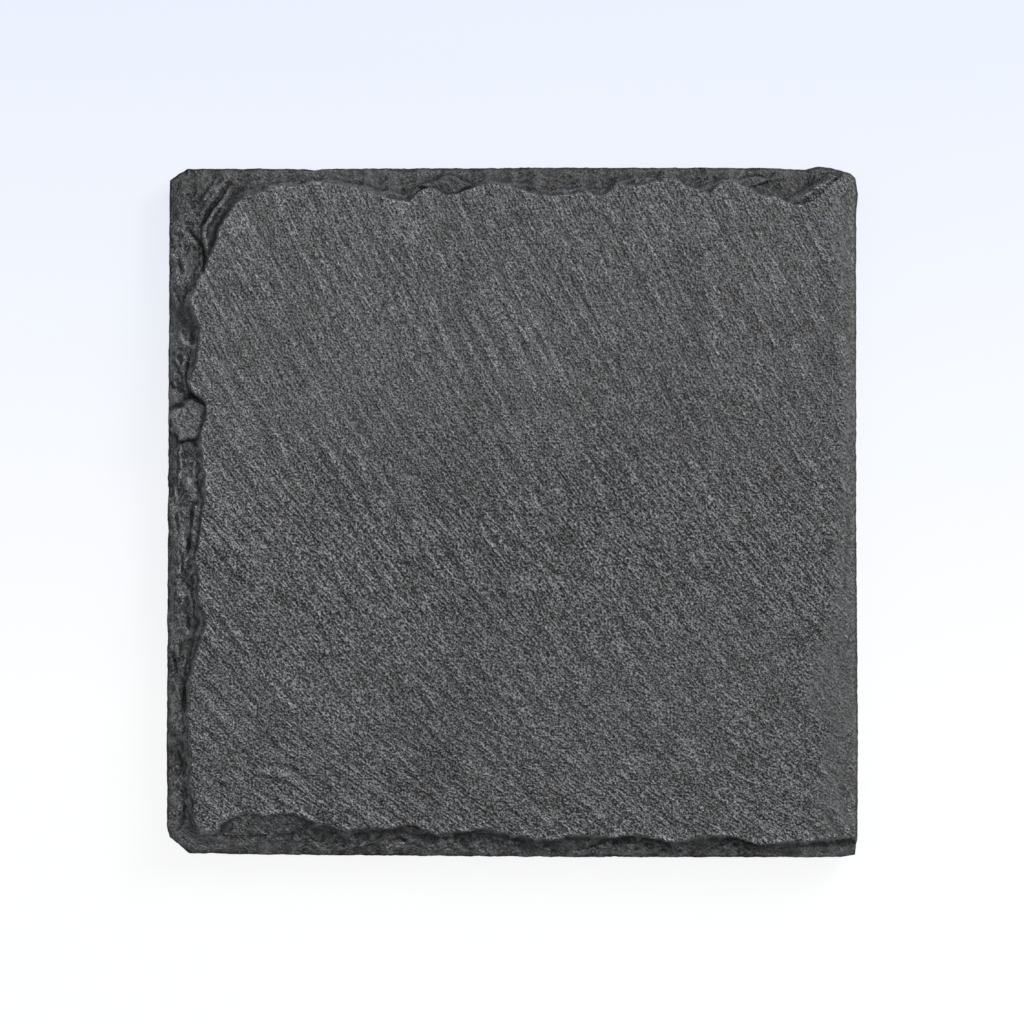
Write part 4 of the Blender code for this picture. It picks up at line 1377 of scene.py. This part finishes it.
# %% Pads and films
FOAM_ROUNDING, FOAM_BELLY, FOAM_ROUGHNESS = 0.18, 0.16, 0.05
FILM_ROUNDING, FILM_BELLY, FILM_ROUGHNESS = 0.10, -0.05, 0.06
pads, films = [], []
for number, corner_name in enumerate(CORNERS):
    pad_node, film_node = f"foot_pad_{corner_name}", f"adhesive_film_{corner_name}"
    pad_low, pad_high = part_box(pad_node)
    film_low, film_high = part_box(film_node)
    middle = (pad_low + pad_high) / 2
    pad_shape = disc_profile((pad_high.x - pad_low.x) / 2 / MM - FOAM_BELLY, pad_low.z / MM,
                             film_low.z / MM, FOAM_ROUNDING, FOAM_BELLY)
    film_shape = disc_profile((film_high.x - film_low.x) / 2 / MM, film_low.z / MM,
                              UNDERSIDE, FILM_ROUNDING, FILM_BELLY)
    pads.append(turned(f"foam_foot_{corner_name}", pad_shape, middle, FOAM_ROUGHNESS,
                       81 + number, pad_node))
    films.append(turned(f"film_disc_{corner_name}", film_shape, middle, FILM_ROUGHNESS,
                        91 + number, film_node))
print("pad, mm:", [round(v, 2) for v in pads[0].dimensions / MM])

# %% [markdown]
# Stone dust settles on everything near a slate. It is fine, pale and patchy, and clings to foam and
# to the tacky edge of a film in the same way. So it is one node group, placed in each of the two
# finishes with an amount of its own.

# %% Dust group
dust = bpy.data.node_groups.new("stone_dust", "ShaderNodeTree")
socket(dust, "Vector", "NodeSocketVector")
socket(dust, "Amount", "NodeSocketFloat", 0.3)
socket(dust, "Mask", "NodeSocketFloat", out=True)
dust_in, dust_out = dust.nodes.new("NodeGroupInput"), dust.nodes.new("NodeGroupOutput")
drifts = range_node(dust, noise_node(dust, dust_in.outputs["Vector"], 0.7, 3.0, 0.6), 0.42, 0.70)
motes = range_node(dust, noise_node(dust, dust_in.outputs["Vector"], 9.0, 1.0, 0.5), 0.52, 0.66)
settled = math_node(dust, "MULTIPLY_ADD", motes, 0.6, math_node(dust, "MULTIPLY", drifts, 0.5))
dust.links.new(math_node(dust, "MULTIPLY", settled, dust_in.outputs["Amount"]),
               dust_out.inputs["Mask"])


def dusted(material_tree, vector, amount, clean, dirt):
    """The clean colour with dust mixed over it, and the dust's mask.

    clean is a node's output; dirt is red, green and blue from 0 to 1."""
    layer = material_tree.nodes.new("ShaderNodeGroup")
    layer.node_tree = dust
    layer.inputs["Amount"].default_value = amount
    material_tree.links.new(vector, layer.inputs["Vector"])
    blend = material_tree.nodes.new("ShaderNodeMix")
    blend.data_type = "RGBA"
    material_tree.links.new(layer.outputs["Mask"], blend.inputs["Factor"])
    material_tree.links.new(clean, blend.inputs["A"])
    blend.inputs["B"].default_value = (*dirt, 1)
    return blend.outputs["Result"], layer.outputs["Mask"]


print("dust group:", len(dust.nodes), "nodes")

# %% [markdown]
# The foam is black, and its cells are tiny round hollows. A Voronoi pattern is made for that,
# because its distance grows from each cell's middle to its wall. The same pattern drives colour,
# roughness and bump, so that they agree; in the colour it is painted shade, darker in each hollow
# than on its wall.

# %% Foam finish
CELLS_PER_MM = 5.5

foam = bpy.data.materials.new("black_foam")
foam_shader = plain_shader(foam)
foam_tree = foam.node_tree
foam_place = scaled_place(foam_tree)
cells = foam_tree.nodes.new("ShaderNodeTexVoronoi")
cells.inputs["Scale"].default_value = CELLS_PER_MM
foam_tree.links.new(foam_place, cells.inputs["Vector"])
walls = range_node(foam_tree, cells.outputs["Distance"], 0.25, 0.75)
# painted shade: each cell's hollow is darker than its wall
painted_cell_shade_colour = foam_tree.nodes.new("ShaderNodeMix")
painted_cell_shade_colour.data_type = "RGBA"
painted_cell_shade_colour.inputs["A"].default_value = (0.010, 0.010, 0.011, 1)
painted_cell_shade_colour.inputs["B"].default_value = (0.042, 0.042, 0.045, 1)
foam_tree.links.new(walls, painted_cell_shade_colour.inputs["Factor"])
foam_colour = dusted(foam_tree, foam_place, 0.35, painted_cell_shade_colour.outputs["Result"],
                     (0.30, 0.30, 0.31))[0]
foam_tree.links.new(foam_colour, foam_shader.inputs["Base Color"])
foam_tree.links.new(range_node(foam_tree, walls, 0, 1, 0.95, 0.72), foam_shader.inputs["Roughness"])
foam_bump = foam_tree.nodes.new("ShaderNodeBump")
foam_bump.inputs["Distance"].default_value = 0.06 * MM
foam_tree.links.new(walls, foam_bump.inputs["Height"])
foam_tree.links.new(foam_bump.outputs["Normal"], foam_shader.inputs["Normal"])
foam_shader.inputs["Specular IOR Level"].default_value = 0.3
for disc in pads:
    disc.data.materials.append(foam)
print("foam:", len(foam_tree.nodes), "nodes on", len(pads), "pads")

# %% [markdown]
# The film is a milky acrylic, clearer in some places than in others. Only its thin edge can be seen.
# Dust sticks to it, and dulls its shine where it does.

# %% Film finish
film = bpy.data.materials.new("milky_adhesive")
film_shader = plain_shader(film)
film_tree = film.node_tree
film_place = scaled_place(film_tree)
milk = film_tree.nodes.new("ShaderNodeMix")
milk.data_type = "RGBA"
milk.inputs["A"].default_value = (0.46, 0.44, 0.38, 1)
milk.inputs["B"].default_value = (0.66, 0.65, 0.60, 1)
film_tree.links.new(range_node(film_tree, noise_node(film_tree, film_place, 1.6, 3.0), 0.35, 0.65),
                    milk.inputs["Factor"])
film_colour, film_dust = dusted(film_tree, film_place, 0.6, milk.outputs["Result"], (0.22, 0.22, 0.23))
film_tree.links.new(film_colour, film_shader.inputs["Base Color"])
film_tree.links.new(range_node(film_tree, film_dust, 0.0, 0.4, 0.32, 0.7),
                    film_shader.inputs["Roughness"])
film_bump = film_tree.nodes.new("ShaderNodeBump")
film_bump.inputs["Distance"].default_value = 0.05 * MM
film_tree.links.new(noise_node(film_tree, film_place, 3.0, 2.0), film_bump.inputs["Height"])
film_tree.links.new(film_bump.outputs["Normal"], film_shader.inputs["Normal"])
for disc in films:
    disc.data.materials.append(film)
print("film:", len(film_tree.nodes), "nodes on", len(films), "discs")
